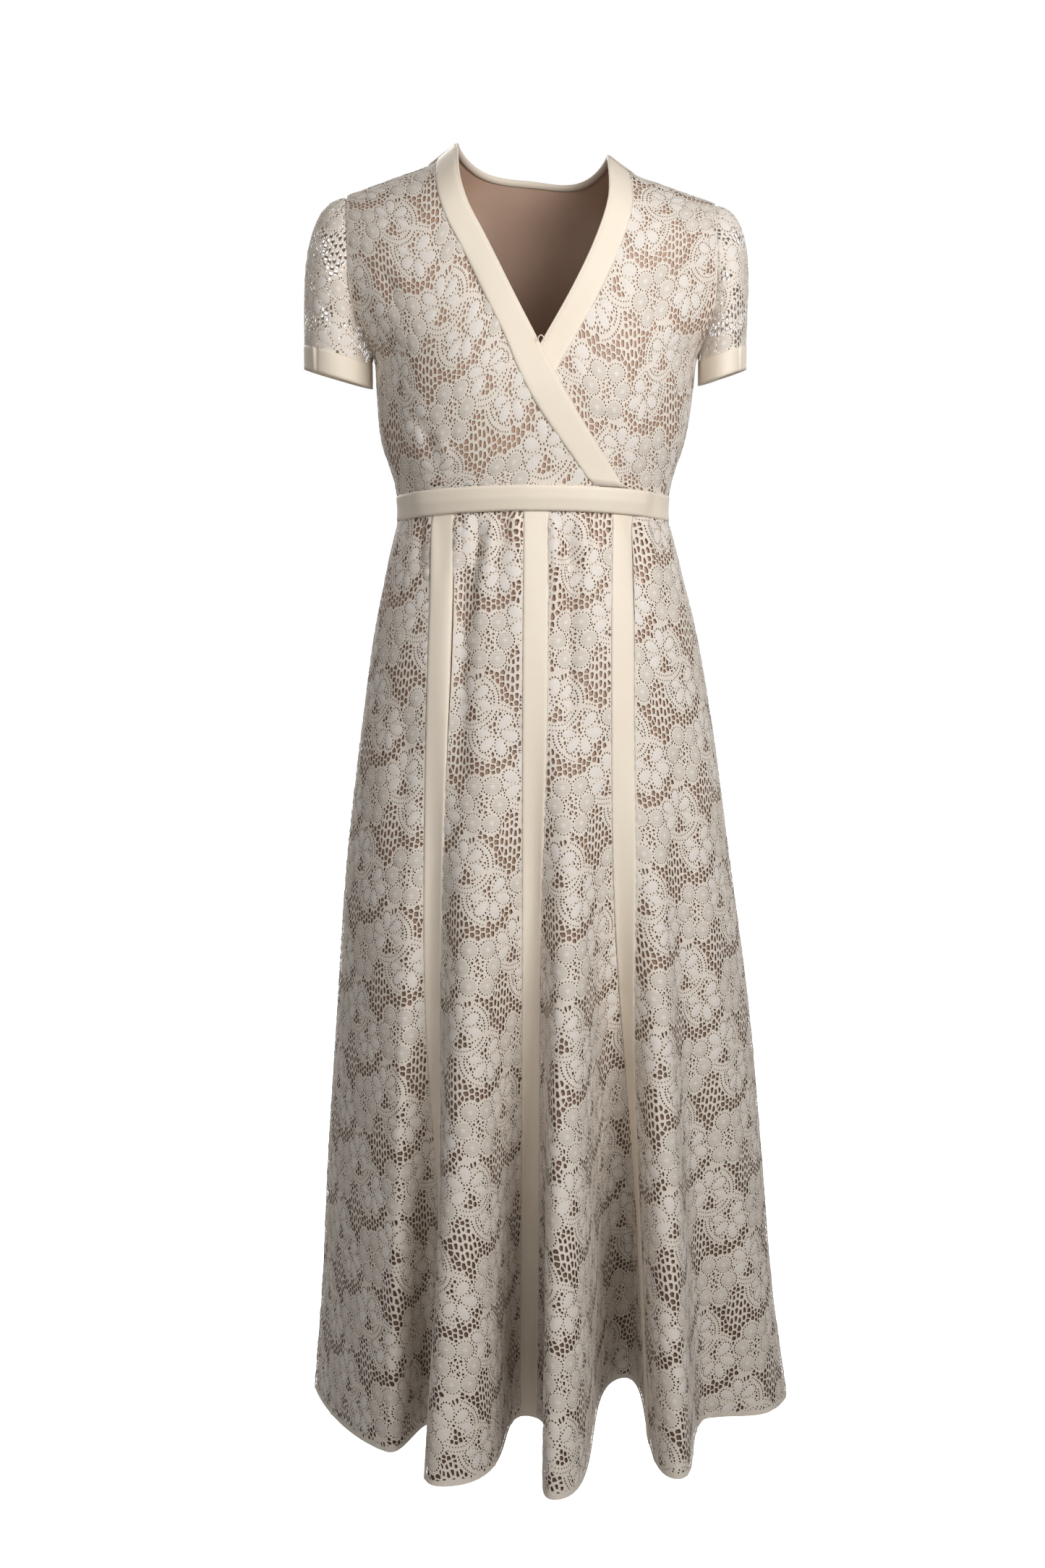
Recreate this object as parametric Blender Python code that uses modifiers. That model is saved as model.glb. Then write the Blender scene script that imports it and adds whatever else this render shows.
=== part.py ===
"""Lace maxi dress: a floral lace shell over a nude lining, trimmed with cream tape.

Metres, +Z up. The origin is midway between the two neck points of the shoulders, the front faces -Y
and the wearer's left is +X. The dress is worn, with no wearer, so every piece is a thin open wall.
The bodice is a form of level sections closed over the shoulders. The skirt is a ring that runs
through one point for each fold, and each of those points slides from the waist out to the hem.
"""

import math

import bmesh
import bpy
import numpy as np
from mathutils import Vector

BODY_AXIS = (0.0, 0.0, 0.0)
NO_GAPS = {}

# Cloth and trim
LINING_WALL = 0.0010
LACE_WALL = 0.0010
TAPE_WALL = 0.0010
CUFF_WALL = 0.0016
SEAM_GAP = 0.0003
TAPE_WIDTH = 0.026
CUFF_HEIGHT = 0.024

# Heights
WAIST_SEAM_SIDE = -0.368
WAIST_SEAM_FRONT_RISE = 0.012
HEM_LEVEL = -1.361
LINING_HEM_SHORT = 0.012
ARMPIT_LEVEL = -0.208

# How far above the waistband the neck bands end
WAISTBAND_CLEAR = 0.0026

# How far the lapped front stands off the front under it, and where it comes back to the form
LAP_LIFT = 0.0062
LAP_START = {"phi": (-64, -42), "z": (-0.095, -0.190)}

# The turns in degrees between which the waistband climbs on to the lapped front and comes off it, and
# how much of the lift its lower edge keeps
BAND_LAP = {"climb": (-68, -50), "fall": (50, 62), "lower_edge": 0.35}

# How far the skirt's lining hangs inside the lace, at the waist and at the hem
LINING_INSIDE = (0.0018, 0.0070)

# The outline of the dress, one row for each level: its left and right edge seen from the front, and
# its foremost, side and rearmost depth. The skirt's folds are added to it.
SECTION_COLUMNS = ("z", "left", "right", "front", "side", "back")
SECTIONS = (
    (-1.361, -0.240, 0.290, -0.070, 0.110, 0.250),
    (-1.236, -0.229, 0.271, -0.085, 0.092, 0.238),
    (-1.086, -0.220, 0.256, -0.103, 0.072, 0.220),
    (-0.906, -0.206, 0.237, -0.122, 0.045, 0.195),
    (-0.736, -0.192, 0.212, -0.130, 0.020, 0.170),
    (-0.586, -0.173, 0.190, -0.126, 0.008, 0.140),
    (-0.486, -0.158, 0.171, -0.118, 0.003, 0.115),
    (-0.425, -0.145, 0.155, -0.109, 0.001, 0.098),
    (-0.368, -0.134, 0.142, -0.102, 0.000, 0.089),
    (-0.340, -0.138, 0.146, -0.106, 0.000, 0.089),
    (-0.300, -0.151, 0.159, -0.115, 0.000, 0.092),
    (-0.245, -0.156, 0.168, -0.120, 0.000, 0.097),
    (-0.208, -0.160, 0.173, -0.117, 0.000, 0.100),
    (-0.180, -0.178, 0.189, -0.112, 0.000, 0.102),
    (-0.140, -0.196, 0.203, -0.105, 0.000, 0.102),
    (-0.090, -0.205, 0.210, -0.096, 0.000, 0.100),
    (-0.040, -0.210, 0.212, -0.088, 0.000, 0.094),
    (0.040, -0.212, 0.214, -0.080, 0.000, 0.085),
)

# The line where front and back meet on the shoulders, run on across the neck
SHOULDER_COLUMNS = ("x", "z")
SHOULDER_LINE = (
    (-0.220, -0.062),
    (-0.186, -0.049),
    (-0.139, -0.032),
    (-0.095, -0.014),
    (-0.073, 0.004),
    (0.000, 0.035),
    (0.080, -0.008),
    (0.104, -0.026),
    (0.130, -0.036),
    (0.190, -0.057),
    (0.220, -0.068),
)
SHOULDER_ROUND = {"front": 0.070, "back": 0.060}
SHOULDER_TIP_X = {"right": -0.186, "left": 0.190}
NECK_POINT_X = {"right": -0.073, "left": 0.080}
BACK_NECK_LEVEL = -0.022
ARMHOLE_CURVE = 3.4

# The turn in radians that leaves half a seam's gap at the sides
SIDE_GAP_TURN = SEAM_GAP / 0.12

# The length of the back's shoulder edge over its width
SHOULDER_SLOPE = 1.1

# The neck edge of each front from the waist seam up to the neck point
EDGE_COLUMNS = ("z", "x")
OVER_EDGE = (
    (-0.360, 0.100),
    (-0.344, 0.091),
    (-0.207, 0.0104),
    (-0.090, -0.048),
    (-0.065, -0.061),
    (-0.040, -0.069),
    (0.004, -0.073),
)
UNDER_EDGE = (
    (-0.362, -0.080),
    (-0.345, -0.070),
    (-0.207, 0.0104),
    (-0.145, 0.045),
    (-0.100, 0.066),
    (-0.060, 0.079),
    (-0.008, 0.080),
)

# The bust cups: one soft rise on each side of the front
BUST = {"x": 0.078, "z": -0.232, "radius": 0.060, "height": 0.011}

# The skirt's folds, in order round the dress from its left edge. A front fold is a straight line seen
# from the front. kind: a side point keeps to the outline. lift: how far the hem is drawn up there.
# round: how full the fold's turn is at the hem. start: the share of the length where it begins.
FOLD_COLUMNS = ("name", "face", "waist_x", "hem_x", "hem_y", "lift", "round", "start")
FOLDS = (
    ("right side", "side", -1.0, -0.240, 0.112, 0.000, 0.90, 0.10),
    ("front lobe 1", "front", -0.112, -0.150, -0.074, 0.000, 0.80, 0.20),
    ("front valley 1", "front", -0.094, -0.104, -0.006, 0.004, 0.95, 0.16),
    ("front lobe 2", "front", -0.043, -0.080, -0.166, 0.000, 1.15, 0.10),
    ("front valley 2", "front", 0.007, 0.001, 0.020, 0.004, 0.70, 0.22),
    ("front lobe 3", "front", 0.041, 0.030, -0.200, 0.000, 0.60, 0.14),
    ("front valley 3", "front", 0.074, 0.104, 0.068, 0.030, 0.60, 0.22),
    ("front lobe 4", "front", 0.112, 0.149, -0.146, 0.000, 0.62, 0.26),
    ("front valley 4", "front", 0.127, 0.190, 0.008, 0.004, 0.80, 0.26),
    ("front lobe 5", "front", 0.137, 0.262, 0.034, 0.002, 0.90, 0.30),
    ("left side", "side", 1.0, 0.290, 0.112, 0.000, 0.90, 0.10),
    ("back lobe 1", "back", 0.128, 0.246, 0.238, 0.000, 0.90, 0.22),
    ("back valley 1", "back", 0.112, 0.186, 0.176, 0.006, 0.80, 0.26),
    ("back lobe 2", "back", 0.080, 0.128, 0.296, 0.000, 0.80, 0.16),
    ("back valley 2", "back", 0.045, 0.064, 0.190, 0.006, 0.80, 0.30),
    ("back lobe 3", "back", 0.010, 0.002, 0.316, 0.000, 0.80, 0.20),
    ("back valley 3", "back", -0.030, -0.056, 0.206, 0.006, 0.80, 0.24),
    ("back lobe 4", "back", -0.068, -0.116, 0.292, 0.000, 0.80, 0.14),
    ("back valley 4", "back", -0.100, -0.168, 0.182, 0.006, 0.80, 0.28),
    ("back lobe 5", "back", -0.120, -0.214, 0.228, 0.000, 0.90, 0.22),
)
FOLD_GROWTH = 1.45

# The share of the length over which the folds' turns go from even to square with their neighbours
TURNS_SET = (0.15, 0.70)

# Where the back starts among the folds, at the wearer's left side
BACK_START = 10.0

# The skirt tapes: where each lies among the folds, counted in rows of FOLDS, down the skirt
TAPE_STATIONS = (0.0, 0.3, 0.6, 0.85, 1.0)
TAPES = {
    "right": (2.18, 2.06, 2.10, 2.48, 2.66),
    "centre": (4.00, 4.00, 4.00, 4.00, 4.00),
    "left": (6.50, 6.30, 6.36, 6.56, 6.62),
}

# The skirt's gores between its tapes and side seams, with their columns of faces and their gathers
GORE_COLUMNS = ("name", "columns", "gathers", "height", "reach")
GORES = (
    ("right side", 12, 3, 0.0020, 0.10),
    ("right of centre", 10, 3, 0.0042, 0.16),
    ("left of centre", 18, 3, 0.0034, 0.14),
    ("left side", 13, 3, 0.0022, 0.10),
    ("back", 28, 9, 0.0026, 0.12),
)
TAPE_FACES = 2
SKIRT_ROWS = (0.0, 0.0134, 0.045, 0.095, 0.16, 0.24, 0.33, 0.43, 0.54, 0.65, 0.77, 0.885, 1.0)
LINING_ROWS = (0, 2, 4, 6, 8, 9, 10, 11, 12)

# The fronts and the back, in rows down the armhole, down the side and across
FRONT_FACES = {"armhole": 6, "side": 3, "across": 8, "band": 2}
BACK_FACES = {"shoulder": 2, "armhole": 6, "side": 3, "across": 14}
WAISTBAND_FACES = 40
SLEEVE_ROWS = 4
SLEEVE_PARTING = 0.0014
CUFF_FACES = 24

# Each sleeve's cuff seam: an oval whose outer end is the higher
SLEEVE_COLUMNS = ("side", "centre", "half_width", "half_depth", "outer_rise", "puff")
SLEEVES = (
    ("right", (-0.1984, 0.010, -0.2095), 0.0350, 0.054, 0.0100, 0.22),
    ("left", (0.2008, 0.007, -0.2080), 0.0242, 0.056, 0.0080, 0.22),
)

# The lace repeat, and the longest gaps in it that are cut through, from the repeat's corner
REPEAT = (0.115, 0.170)
GAP_SIZE = (0.0044, 0.0082)
GAPS_IN_REPEAT = ((0.031, 0.038), (0.088, 0.123), (0.060, 0.082))
GAP_MARGIN = 0.0011
GAP_WARP = {"bodice": 0.0008, "loose": 0.0022}

# colour, roughness
FINISHES = {
    "lace": ((0.80, 0.75, 0.71), 0.80),
    "lining": ((0.66, 0.47, 0.36), 0.55),
    "tape": ((0.86, 0.77, 0.64), 0.65),
}


# Tables and curves
def column(table, columns, name):
    at = columns.index(name)
    return np.array([row[at] for row in table], dtype=float)


def through(xs, ys, x):
    """A smooth curve through a short table whose xs rise."""
    slopes = np.gradient(ys, xs)
    x = np.clip(x, xs[0], xs[-1])
    k = np.clip(np.searchsorted(xs, x) - 1, 0, len(xs) - 2)
    h = xs[k + 1] - xs[k]
    t = (x - xs[k]) / h
    return (
        ys[k] * (1 + 2 * t) * (1 - t) ** 2
        + ys[k + 1] * t * t * (3 - 2 * t)
        + slopes[k] * h * t * (1 - t) ** 2
        + slopes[k + 1] * h * t * t * (t - 1)
    )


def section(name, z):
    return through(
        column(SECTIONS, SECTION_COLUMNS, "z"), column(SECTIONS, SECTION_COLUMNS, name), z
    )


def shoulder_z(x):
    return through(
        column(SHOULDER_LINE, SHOULDER_COLUMNS, "x"), column(SHOULDER_LINE, SHOULDER_COLUMNS, "z"), x
    )


def ease(value, start, end):
    """0 before start and 1 after end, with a soft step between."""
    t = np.clip((value - start) / (end - start), 0.0, 1.0)
    return t * t * (3 - 2 * t)


def half_width(z):
    return (section("right", z) - section("left", z)) / 2


def middle_x(z):
    return (section("right", z) + section("left", z)) / 2


def seam_z(forward):
    """The waist seam's level: forward is 1 at the middle of the front and 0 from the sides back."""
    return WAIST_SEAM_SIDE + WAIST_SEAM_FRONT_RISE * np.clip(forward, 0, 1) ** 1.5


# The bodice's form. phi is the angle round it, -90 to 90 degrees from edge to edge on the front or the
# back, and down is the distance down the cloth from the shoulder line.
def down_of(face, x, z):
    radius = SHOULDER_ROUND[face]
    drop = np.maximum(shoulder_z(x) - z, 0.0)
    turned = radius * np.arccos(np.clip(1 - drop / radius, -1, 1))
    return np.where(drop < radius, turned, radius * (math.pi / 2 - 1) + drop)


def phi_of(x, z):
    return np.arcsin(np.clip((x - middle_x(z)) / half_width(z), -1, 1))


def torso(face, phi, down):
    """Points on the form, where phi and down are arrays of one shape."""
    radius = SHOULDER_ROUND[face]
    turn = np.minimum(down / radius, math.pi / 2)
    drop = radius * (1 - np.cos(turn)) + np.maximum(down - radius * math.pi / 2, 0)
    x = 0.15 * np.sin(phi)
    for _ in range(12):
        z = shoulder_z(x) - drop
        x = middle_x(z) + half_width(z) * np.sin(phi)
    reach = section(face, z) - section("side", z)
    y = section("side", z) + reach * np.cos(phi) * np.sin(turn)
    if face == "front":
        for side in (-1, 1):
            away = np.hypot(x - middle_x(z) - side * BUST["x"], z - BUST["z"]) / BUST["radius"]
            y = y - BUST["height"] * np.exp(-(away**2))
    return np.stack([x, y, z], axis=-1)


def lap_lift(points, phi):
    lo, hi = LAP_START["phi"]
    high, low = LAP_START["z"]
    across = ease(np.degrees(phi), lo, hi)
    return LAP_LIFT * across * ease(-points[..., 2], -high, -low)


def patch(top, bottom, left, right):
    """Fills a grid between four edges that share their corners, in phi and down."""
    rows, columns = len(left), len(top)
    v = np.linspace(0, 1, rows)[:, None, None]
    u = np.linspace(0, 1, columns)[None, :, None]
    corners = (
        (1 - u) * (1 - v) * top[0] + u * (1 - v) * top[-1] + (1 - u) * v * bottom[0] + u * v * bottom[-1]
    )
    return (
        (1 - v) * top[None] + v * bottom[None] + (1 - u) * left[:, None] + u * right[:, None] - corners
    )


def armhole(face, side, count):
    """From the shoulder tip down to the armpit."""
    tip_x = SHOULDER_TIP_X[side]
    sign = math.copysign(1, tip_x)
    tip = float(phi_of(tip_x, shoulder_z(tip_x)))
    side_x = section(side_edge(side), ARMPIT_LEVEL)
    deepest = float(down_of(face, side_x, ARMPIT_LEVEL))
    t = np.linspace(0, 1, count + 1)
    end = sign * (math.pi / 2 - SIDE_GAP_TURN)
    phi = tip + (end - tip) * t**ARMHOLE_CURVE
    return np.stack([phi, SEAM_GAP + deepest * t], axis=-1)


def side_edge(side):
    """The outline's column for the wearer's side: the wearer's right is the outline's left."""
    return "left" if side == "right" else "right"


def side_seam(face, side, count):
    """From the armpit down to the waist seam. The last row lies under the waistband."""
    sign = -1 if side == "right" else 1
    top = armhole(face, side, 1)[-1]
    z_low = WAIST_SEAM_SIDE + SEAM_GAP
    z = np.append(
        np.linspace(ARMPIT_LEVEL, z_low + TAPE_WIDTH / 2 + SEAM_GAP, count + 1)[1:], z_low
    )
    x = section(side_edge(side), z)
    phi = np.full(len(z), sign * (math.pi / 2 - SIDE_GAP_TURN))
    return np.concatenate([top[None], np.stack([phi, down_of(face, x, z)], axis=-1)])


def waist_edge(face, phi_from, phi_to, count):
    phi = np.linspace(phi_from, phi_to, count + 1)
    forward = np.cos(phi) if face == "front" else np.zeros(count + 1)
    z = seam_z(forward) + SEAM_GAP
    x = middle_x(z) + half_width(z) * np.sin(phi)
    return np.stack([phi, down_of(face, x, z)], axis=-1)


def spaced(points, stations):
    """Points at shares of the length of a polyline."""
    steps = np.linalg.norm(np.diff(points, axis=0), axis=-1)
    run = np.concatenate([[0], np.cumsum(steps)])
    at = np.asarray(stations) * run[-1]
    return np.stack([np.interp(at, run, points[:, k]) for k in range(points.shape[1])], axis=-1)


def neck_edge(side, table, rows):
    """The front's neck edge in phi and down, with its last row under the waistband."""
    zs = column(table, EDGE_COLUMNS, "z")
    xs = column(table, EDGE_COLUMNS, "x")
    z_seam = float(seam_z(math.cos(float(phi_of(xs[0], zs[0]))))) + SEAM_GAP
    z_band = z_seam + TAPE_WIDTH / 2 + 2 * SEAM_GAP
    z = np.linspace(zs[-1], z_band, 80)
    line = np.stack([through(zs, xs, z), z], axis=-1)
    line = spaced(line, np.linspace(0, 1, rows))
    line = np.concatenate([line, [[float(through(zs, xs, z_seam)), z_seam]]])
    x, z = line[:, 0], line[:, 1]
    down = down_of("front", x, z)
    down[0] = SEAM_GAP
    return np.stack([phi_of(x, z), down], axis=-1)


def front_form(side):
    """The grid of one front's form, and phi on it. Its last columns lie under the neck band."""
    table = OVER_EDGE if side == "right" else UNDER_EDGE
    outer = np.concatenate(
        [
            armhole("front", side, FRONT_FACES["armhole"]),
            side_seam("front", side, FRONT_FACES["side"])[1:],
        ]
    )
    inner = neck_edge(side, table, len(outer) - 1)
    fine = 64
    t = np.linspace(0, 1, fine + 1)[:, None]
    top = outer[0] + (inner[0] - outer[0]) * t
    bottom = waist_edge("front", outer[-1, 0], inner[-1, 0], fine)
    outer[-1], inner[-1] = bottom[0], bottom[-1]
    grid = patch(top, bottom, outer, inner)
    phi = grid[-2, :, 0]
    z = seam_z(np.cos(phi)) + TAPE_WIDTH / 2 + WAISTBAND_CLEAR
    grid[-2, :, 1] = down_of("front", middle_x(z) + half_width(z) * np.sin(phi), z)
    rows = []
    for k in range(len(grid)):
        points = torso("front", grid[k, :, 0], grid[k, :, 1])
        length = np.linalg.norm(np.diff(points, axis=0), axis=-1).sum()
        before, after = inner[max(k - 1, 0)], inner[min(k + 1, len(inner) - 1)]
        edge = torso("front", *np.stack([before, after]).T)
        along = (edge[1] - edge[0]) / np.linalg.norm(edge[1] - edge[0])
        across = (points[-1] - points[-4]) / np.linalg.norm(points[-1] - points[-4])
        slant = np.linalg.norm(np.cross(along, across))
        band = TAPE_WIDTH / slant / length
        stations = np.concatenate(
            [
                np.linspace(0, 1 - band, FRONT_FACES["across"] + 1),
                np.linspace(1 - band, 1, FRONT_FACES["band"] + 1)[1:],
            ]
        )
        run = np.concatenate([[0], np.cumsum(np.linalg.norm(np.diff(points, axis=0), axis=-1))])
        place = np.interp(stations, run / run[-1], np.linspace(0, 1, fine + 1))
        at = np.stack(
            [np.interp(place, np.linspace(0, 1, fine + 1), grid[k, :, n]) for n in range(2)], axis=-1
        )
        rows.append(at)
    grid = np.array(rows)
    return torso("front", grid[..., 0], grid[..., 1]), grid[..., 0]


def back_form():
    """The back's grid. Its first row runs round the neck and lies under the neck band."""
    edges = {}
    for side in ("right", "left"):
        neck_x, tip_x = NECK_POINT_X[side], SHOULDER_TIP_X[side]
        neck = float(phi_of(neck_x, shoulder_z(neck_x)))
        tip = float(phi_of(tip_x, shoulder_z(tip_x)))
        band = TAPE_WIDTH / abs(tip_x - neck_x) / SHOULDER_SLOPE
        stations = np.concatenate([[0], np.linspace(band, 1, BACK_FACES["shoulder"] + 1)])
        shoulder = np.stack(
            [neck + (tip - neck) * stations, np.full(len(stations), SEAM_GAP)], axis=-1
        )
        edges[side] = np.concatenate(
            [
                shoulder,
                armhole("back", side, BACK_FACES["armhole"])[1:],
                side_seam("back", side, BACK_FACES["side"])[1:],
            ]
        )
    count = BACK_FACES["across"]
    turn = np.linspace(0, math.pi, count + 1)
    start, end = edges["right"][0], edges["left"][0]
    phi = start[0] + (end[0] - start[0]) * (1 - np.cos(turn)) / 2
    deepest = float(down_of("back", 0.0, BACK_NECK_LEVEL))
    top = np.stack([phi, SEAM_GAP + deepest * np.sin(turn)], axis=-1)
    bottom = waist_edge("back", edges["right"][-1, 0], edges["left"][-1, 0], count)
    edges["right"][-1], edges["left"][-1] = bottom[0], bottom[-1]
    grid = patch(top, bottom, edges["right"], edges["left"])
    spread = np.linspace(0, 1, len(grid))
    centre = top[:, 1].max() + TAPE_WIDTH
    lift = np.sin(turn) ** 2
    grid[1, :, 1] += lift * (centre - grid[1, :, 1])
    for k in range(2, len(grid) - 1):
        share = (spread[k] - spread[1]) / (1 - spread[1])
        level = grid[1, :, 1] + (bottom[:, 1] - grid[1, :, 1]) * share
        grid[k, :, 1] += lift * (level - grid[k, :, 1])
    return torso("back", grid[..., 0], grid[..., 1]), grid[..., 0]


# The skirt. s counts along FOLDS and v runs from the waist seam, 0, to the hem, 1.
def fold_points(v):
    """Where each fold's line stands at v, in plan, with its hem's lift."""
    z_level = WAIST_SEAM_SIDE + v * (HEM_LEVEL - WAIST_SEAM_SIDE)
    points = []
    for name, face, waist_x, hem_x, hem_y, lift, full, start in FOLDS:
        grown = max((v - start) / (1 - start), 0.0) ** FOLD_GROWTH
        if face == "side":
            edge = section("left" if waist_x < 0 else "right", z_level)
            depth = section("side", z_level) + (hem_y - section("side", HEM_LEVEL)) * grown
            points.append((edge, depth))
            continue
        x = waist_x + (hem_x - waist_x) * v
        q = np.clip((x - middle_x(z_level)) / half_width(z_level), -1, 1)
        q_hem = np.clip((hem_x - middle_x(HEM_LEVEL)) / half_width(HEM_LEVEL), -1, 1)
        reach = section(face, z_level) - section("side", z_level)
        y = section("side", z_level) + reach * np.sqrt(1 - q * q)
        base = section("side", HEM_LEVEL) + (
            section(face, HEM_LEVEL) - section("side", HEM_LEVEL)
        ) * math.sqrt(1 - q_hem**2)
        points.append((x, y + (hem_y - base) * grown))
    return np.array(points, dtype=float)


def fold_fullness(v):
    full = column(FOLDS, FOLD_COLUMNS, "round")
    start = column(FOLDS, FOLD_COLUMNS, "start")
    grown = np.clip((v - start) / (1 - start), 0, 1) ** FOLD_GROWTH
    return 1 + (full - 1) * grown


def skirt_ring(v, per_fold=24):
    """The closed ring at v: s, the points in plan, their outward direction and the cloth's level."""
    points = fold_points(v)
    full = fold_fullness(v)
    count = len(points)
    after, before = np.roll(points, -1, axis=0), np.roll(points, 1, axis=0)
    chord_on = np.linalg.norm(after - points, axis=-1)
    chord_back = np.linalg.norm(points - before, axis=-1)
    slope = (after - points) / chord_on[:, None] * chord_back[:, None] + (
        points - before
    ) / chord_back[:, None] * chord_on[:, None]
    slope /= np.linalg.norm(slope, axis=-1)[:, None]
    slope_hem = (after - before) / np.linalg.norm(after - before, axis=-1)[:, None]
    mix = ease(v, *TURNS_SET)
    slope = slope * (1 - mix) + slope_hem * mix
    s = np.arange(count * per_fold + 1) / per_fold
    k = np.minimum(s.astype(int), count - 1)
    n = (k + 1) % count
    t = (s - k)[:, None]
    h = chord_on[k][:, None]
    xy = (
        points[k] * (1 + 2 * t) * (1 - t) ** 2
        + points[n] * t * t * (3 - 2 * t)
        + slope[k] * full[k][:, None] * h * t * (1 - t) ** 2
        + slope[n] * full[n][:, None] * h * t * t * (t - 1)
    )
    along = np.gradient(xy, axis=0)
    along[0] = along[-1] = xy[1] - xy[-2]
    along /= np.linalg.norm(along, axis=-1)[:, None]
    out = np.stack([along[:, 1], -along[:, 0]], axis=-1)
    lifts = column(FOLDS, FOLD_COLUMNS, "lift")
    lift = lifts[k] + (lifts[n] - lifts[k]) * ease(t[:, 0], 0, 1)
    z_level = WAIST_SEAM_SIDE + v * (HEM_LEVEL - WAIST_SEAM_SIDE)
    reach = section("side", z_level) - section("front", z_level)
    forward = (section("side", z_level) - xy[:, 1]) / reach
    z = (1 - v) * (seam_z(forward) - SEAM_GAP) + v * (HEM_LEVEL + lift)
    run = np.concatenate([[0], np.cumsum(np.linalg.norm(np.diff(xy, axis=0), axis=-1))])
    return s, xy, out, z, run


def skirt_columns(v):
    """The run along the ring of every column of faces, the share of its gore, and its gore."""
    s, xy, out, z, run = skirt_ring(v)
    marks = [0.0]
    for stations in TAPES.values():
        middle = np.interp(through(np.array(TAPE_STATIONS), np.array(stations), v), s, run)
        marks += [middle - TAPE_WIDTH / 2, middle + TAPE_WIDTH / 2]
    marks += [np.interp(BACK_START, s, run), run[-1]]
    gore_of = [0, None, 1, None, 2, None, 3, 4]
    faces = [TAPE_FACES if gore is None else GORES[gore][1] for gore in gore_of]
    runs, shares, gores = [], [], []
    for k, count in enumerate(faces):
        t = np.linspace(0, 1, count + 1)
        even = marks[k] + (marks[k + 1] - marks[k]) * t
        s_from, s_to = np.interp([marks[k], marks[k + 1]], run, s)
        by_fold = np.interp(s_from + (s_to - s_from) * t, s, run)
        at = (even + by_fold) / 2
        if gore_of[k] == 4:
            at[0], at[-1] = marks[k] + SEAM_GAP / 2, marks[k + 1] - SEAM_GAP / 2
            runs += list(at)
            shares += list((at - marks[k]) / (marks[k + 1] - marks[k]))
            gores += [4] * (count + 1)
            continue
        if k == 0:
            at[0] += SEAM_GAP / 2
        last = k == 6
        if last:
            at[-1] -= SEAM_GAP / 2
        take = slice(None) if last else slice(0, -1)
        runs += list(at[take])
        shares += list(((at - marks[k]) / (marks[k + 1] - marks[k]))[take])
        gores += [gore_of[k]] * len(at[take])
    return np.array(runs), np.array(shares), gores


def gather_height(v, shares, gores):
    """The small gathers that fan down from the waistband."""
    out = np.zeros(len(shares))
    for k, gore in enumerate(gores):
        if gore is None:
            continue
        name, faces, count, height, reach = GORES[gore]
        wave = 0.5 - 0.5 * math.cos(2 * math.pi * count * shares[k])
        fall = float(ease(v, SKIRT_ROWS[1], 0.06)) * math.exp(-((v / reach) ** 2))
        out[k] = height * wave * fall
    return out


def skirt_row(v, outward, gathers):
    """One row of the skirt's cloth, moved outward from the form."""
    s, xy, out, z, run = skirt_ring(v)
    runs, shares, gores = skirt_columns(v)
    move = outward + (gather_height(v, shares, gores) if gathers else 0.0)
    rows = []
    for values in (xy[:, 0], xy[:, 1], z, out[:, 0], out[:, 1]):
        rows.append(np.interp(runs, run, values))
    x, y, level, out_x, out_y = rows
    length = np.hypot(out_x, out_y)
    return np.stack([x + out_x / length * move, y + out_y / length * move, level], axis=-1)


def front_columns():
    """How many columns of points the skirt's front has."""
    return sum(gore[1] for gore in GORES[:4]) + 3 * TAPE_FACES + 1


# Sheets of cloth
def sheet(
    name, finish, points, wall, axis=BODY_AXIS, outward=True, gaps=NO_GAPS, slants=None, closed=False
):
    """An open grid of triangles through the points, made a wall by Solidify.

    slants is true for each face whose edge across runs from its upper right to its lower left.
    """
    rows, columns = points.shape[:2]
    bm = bmesh.new()
    bmesh.ops.create_grid(bm, x_segments=columns - 1, y_segments=rows - 1, size=1.0)
    bm.verts.ensure_lookup_table()
    for vert, place in zip(bm.verts, points.reshape(-1, 3)):
        vert.co = place
    faces = {}
    for face in bm.faces:
        first = min(vert.index for vert in face.verts)
        faces[first // columns, first % columns] = face
    if slants is None:
        slants = np.zeros((rows - 1, columns - 1), dtype=bool)
    for (row, col), face in faces.items():
        if (row, col) in gaps:
            corners = points[row : row + 2, col : col + 2]
            cut_gap(bm, face, row, col, columns, corners, slants[row, col], *gaps[row, col])
        else:
            split_face(bm, face, row * columns + col, columns, slants[row, col])
    bmesh.ops.triangulate(bm, faces=bm.faces, quad_method="FIXED")
    if closed:
        bmesh.ops.remove_doubles(bm, verts=bm.verts, dist=1e-6)
    bm.normal_update()
    if looks_in(bm, axis):
        bmesh.ops.reverse_faces(bm, faces=bm.faces)
    mesh = bpy.data.meshes.new(name)
    bm.to_mesh(mesh)
    bm.free()
    mesh.shade_smooth()
    mesh.materials.append(material(name, finish))
    made = bpy.data.objects.new(name, mesh)
    PARTS.objects.link(made)
    solidify = made.modifiers.new("wall", "SOLIDIFY")
    solidify.thickness = wall
    solidify.offset = 1.0 if outward else -1.0
    return made


def split_face(bm, face, first, columns, slant):
    """Splits one face of a grid across, from corner to corner."""
    bm.verts.ensure_lookup_table()
    ends = (first + 1, first + columns) if slant else (first, first + columns + 1)
    bmesh.utils.face_split(face, bm.verts[ends[0]], bm.verts[ends[1]])


def cut_gap(bm, face, row, col, columns, corners, slant, across, down, half_across, half_down):
    """Leaves a frame of four faces round a gap in one face of a grid."""
    inner = []
    for vert in face.verts:
        u = vert.index % columns - col
        v = vert.index // columns - row
        place = (across + (2 * u - 1) * half_across, down + (2 * v - 1) * half_down)
        inner.append(bm.verts.new(within(corners, slant, *place)))
    ring = list(face.verts)
    bm.faces.remove(face)
    for k in range(4):
        n = (k + 1) % 4
        bm.faces.new((ring[k], ring[n], inner[n], inner[k]))


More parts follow.
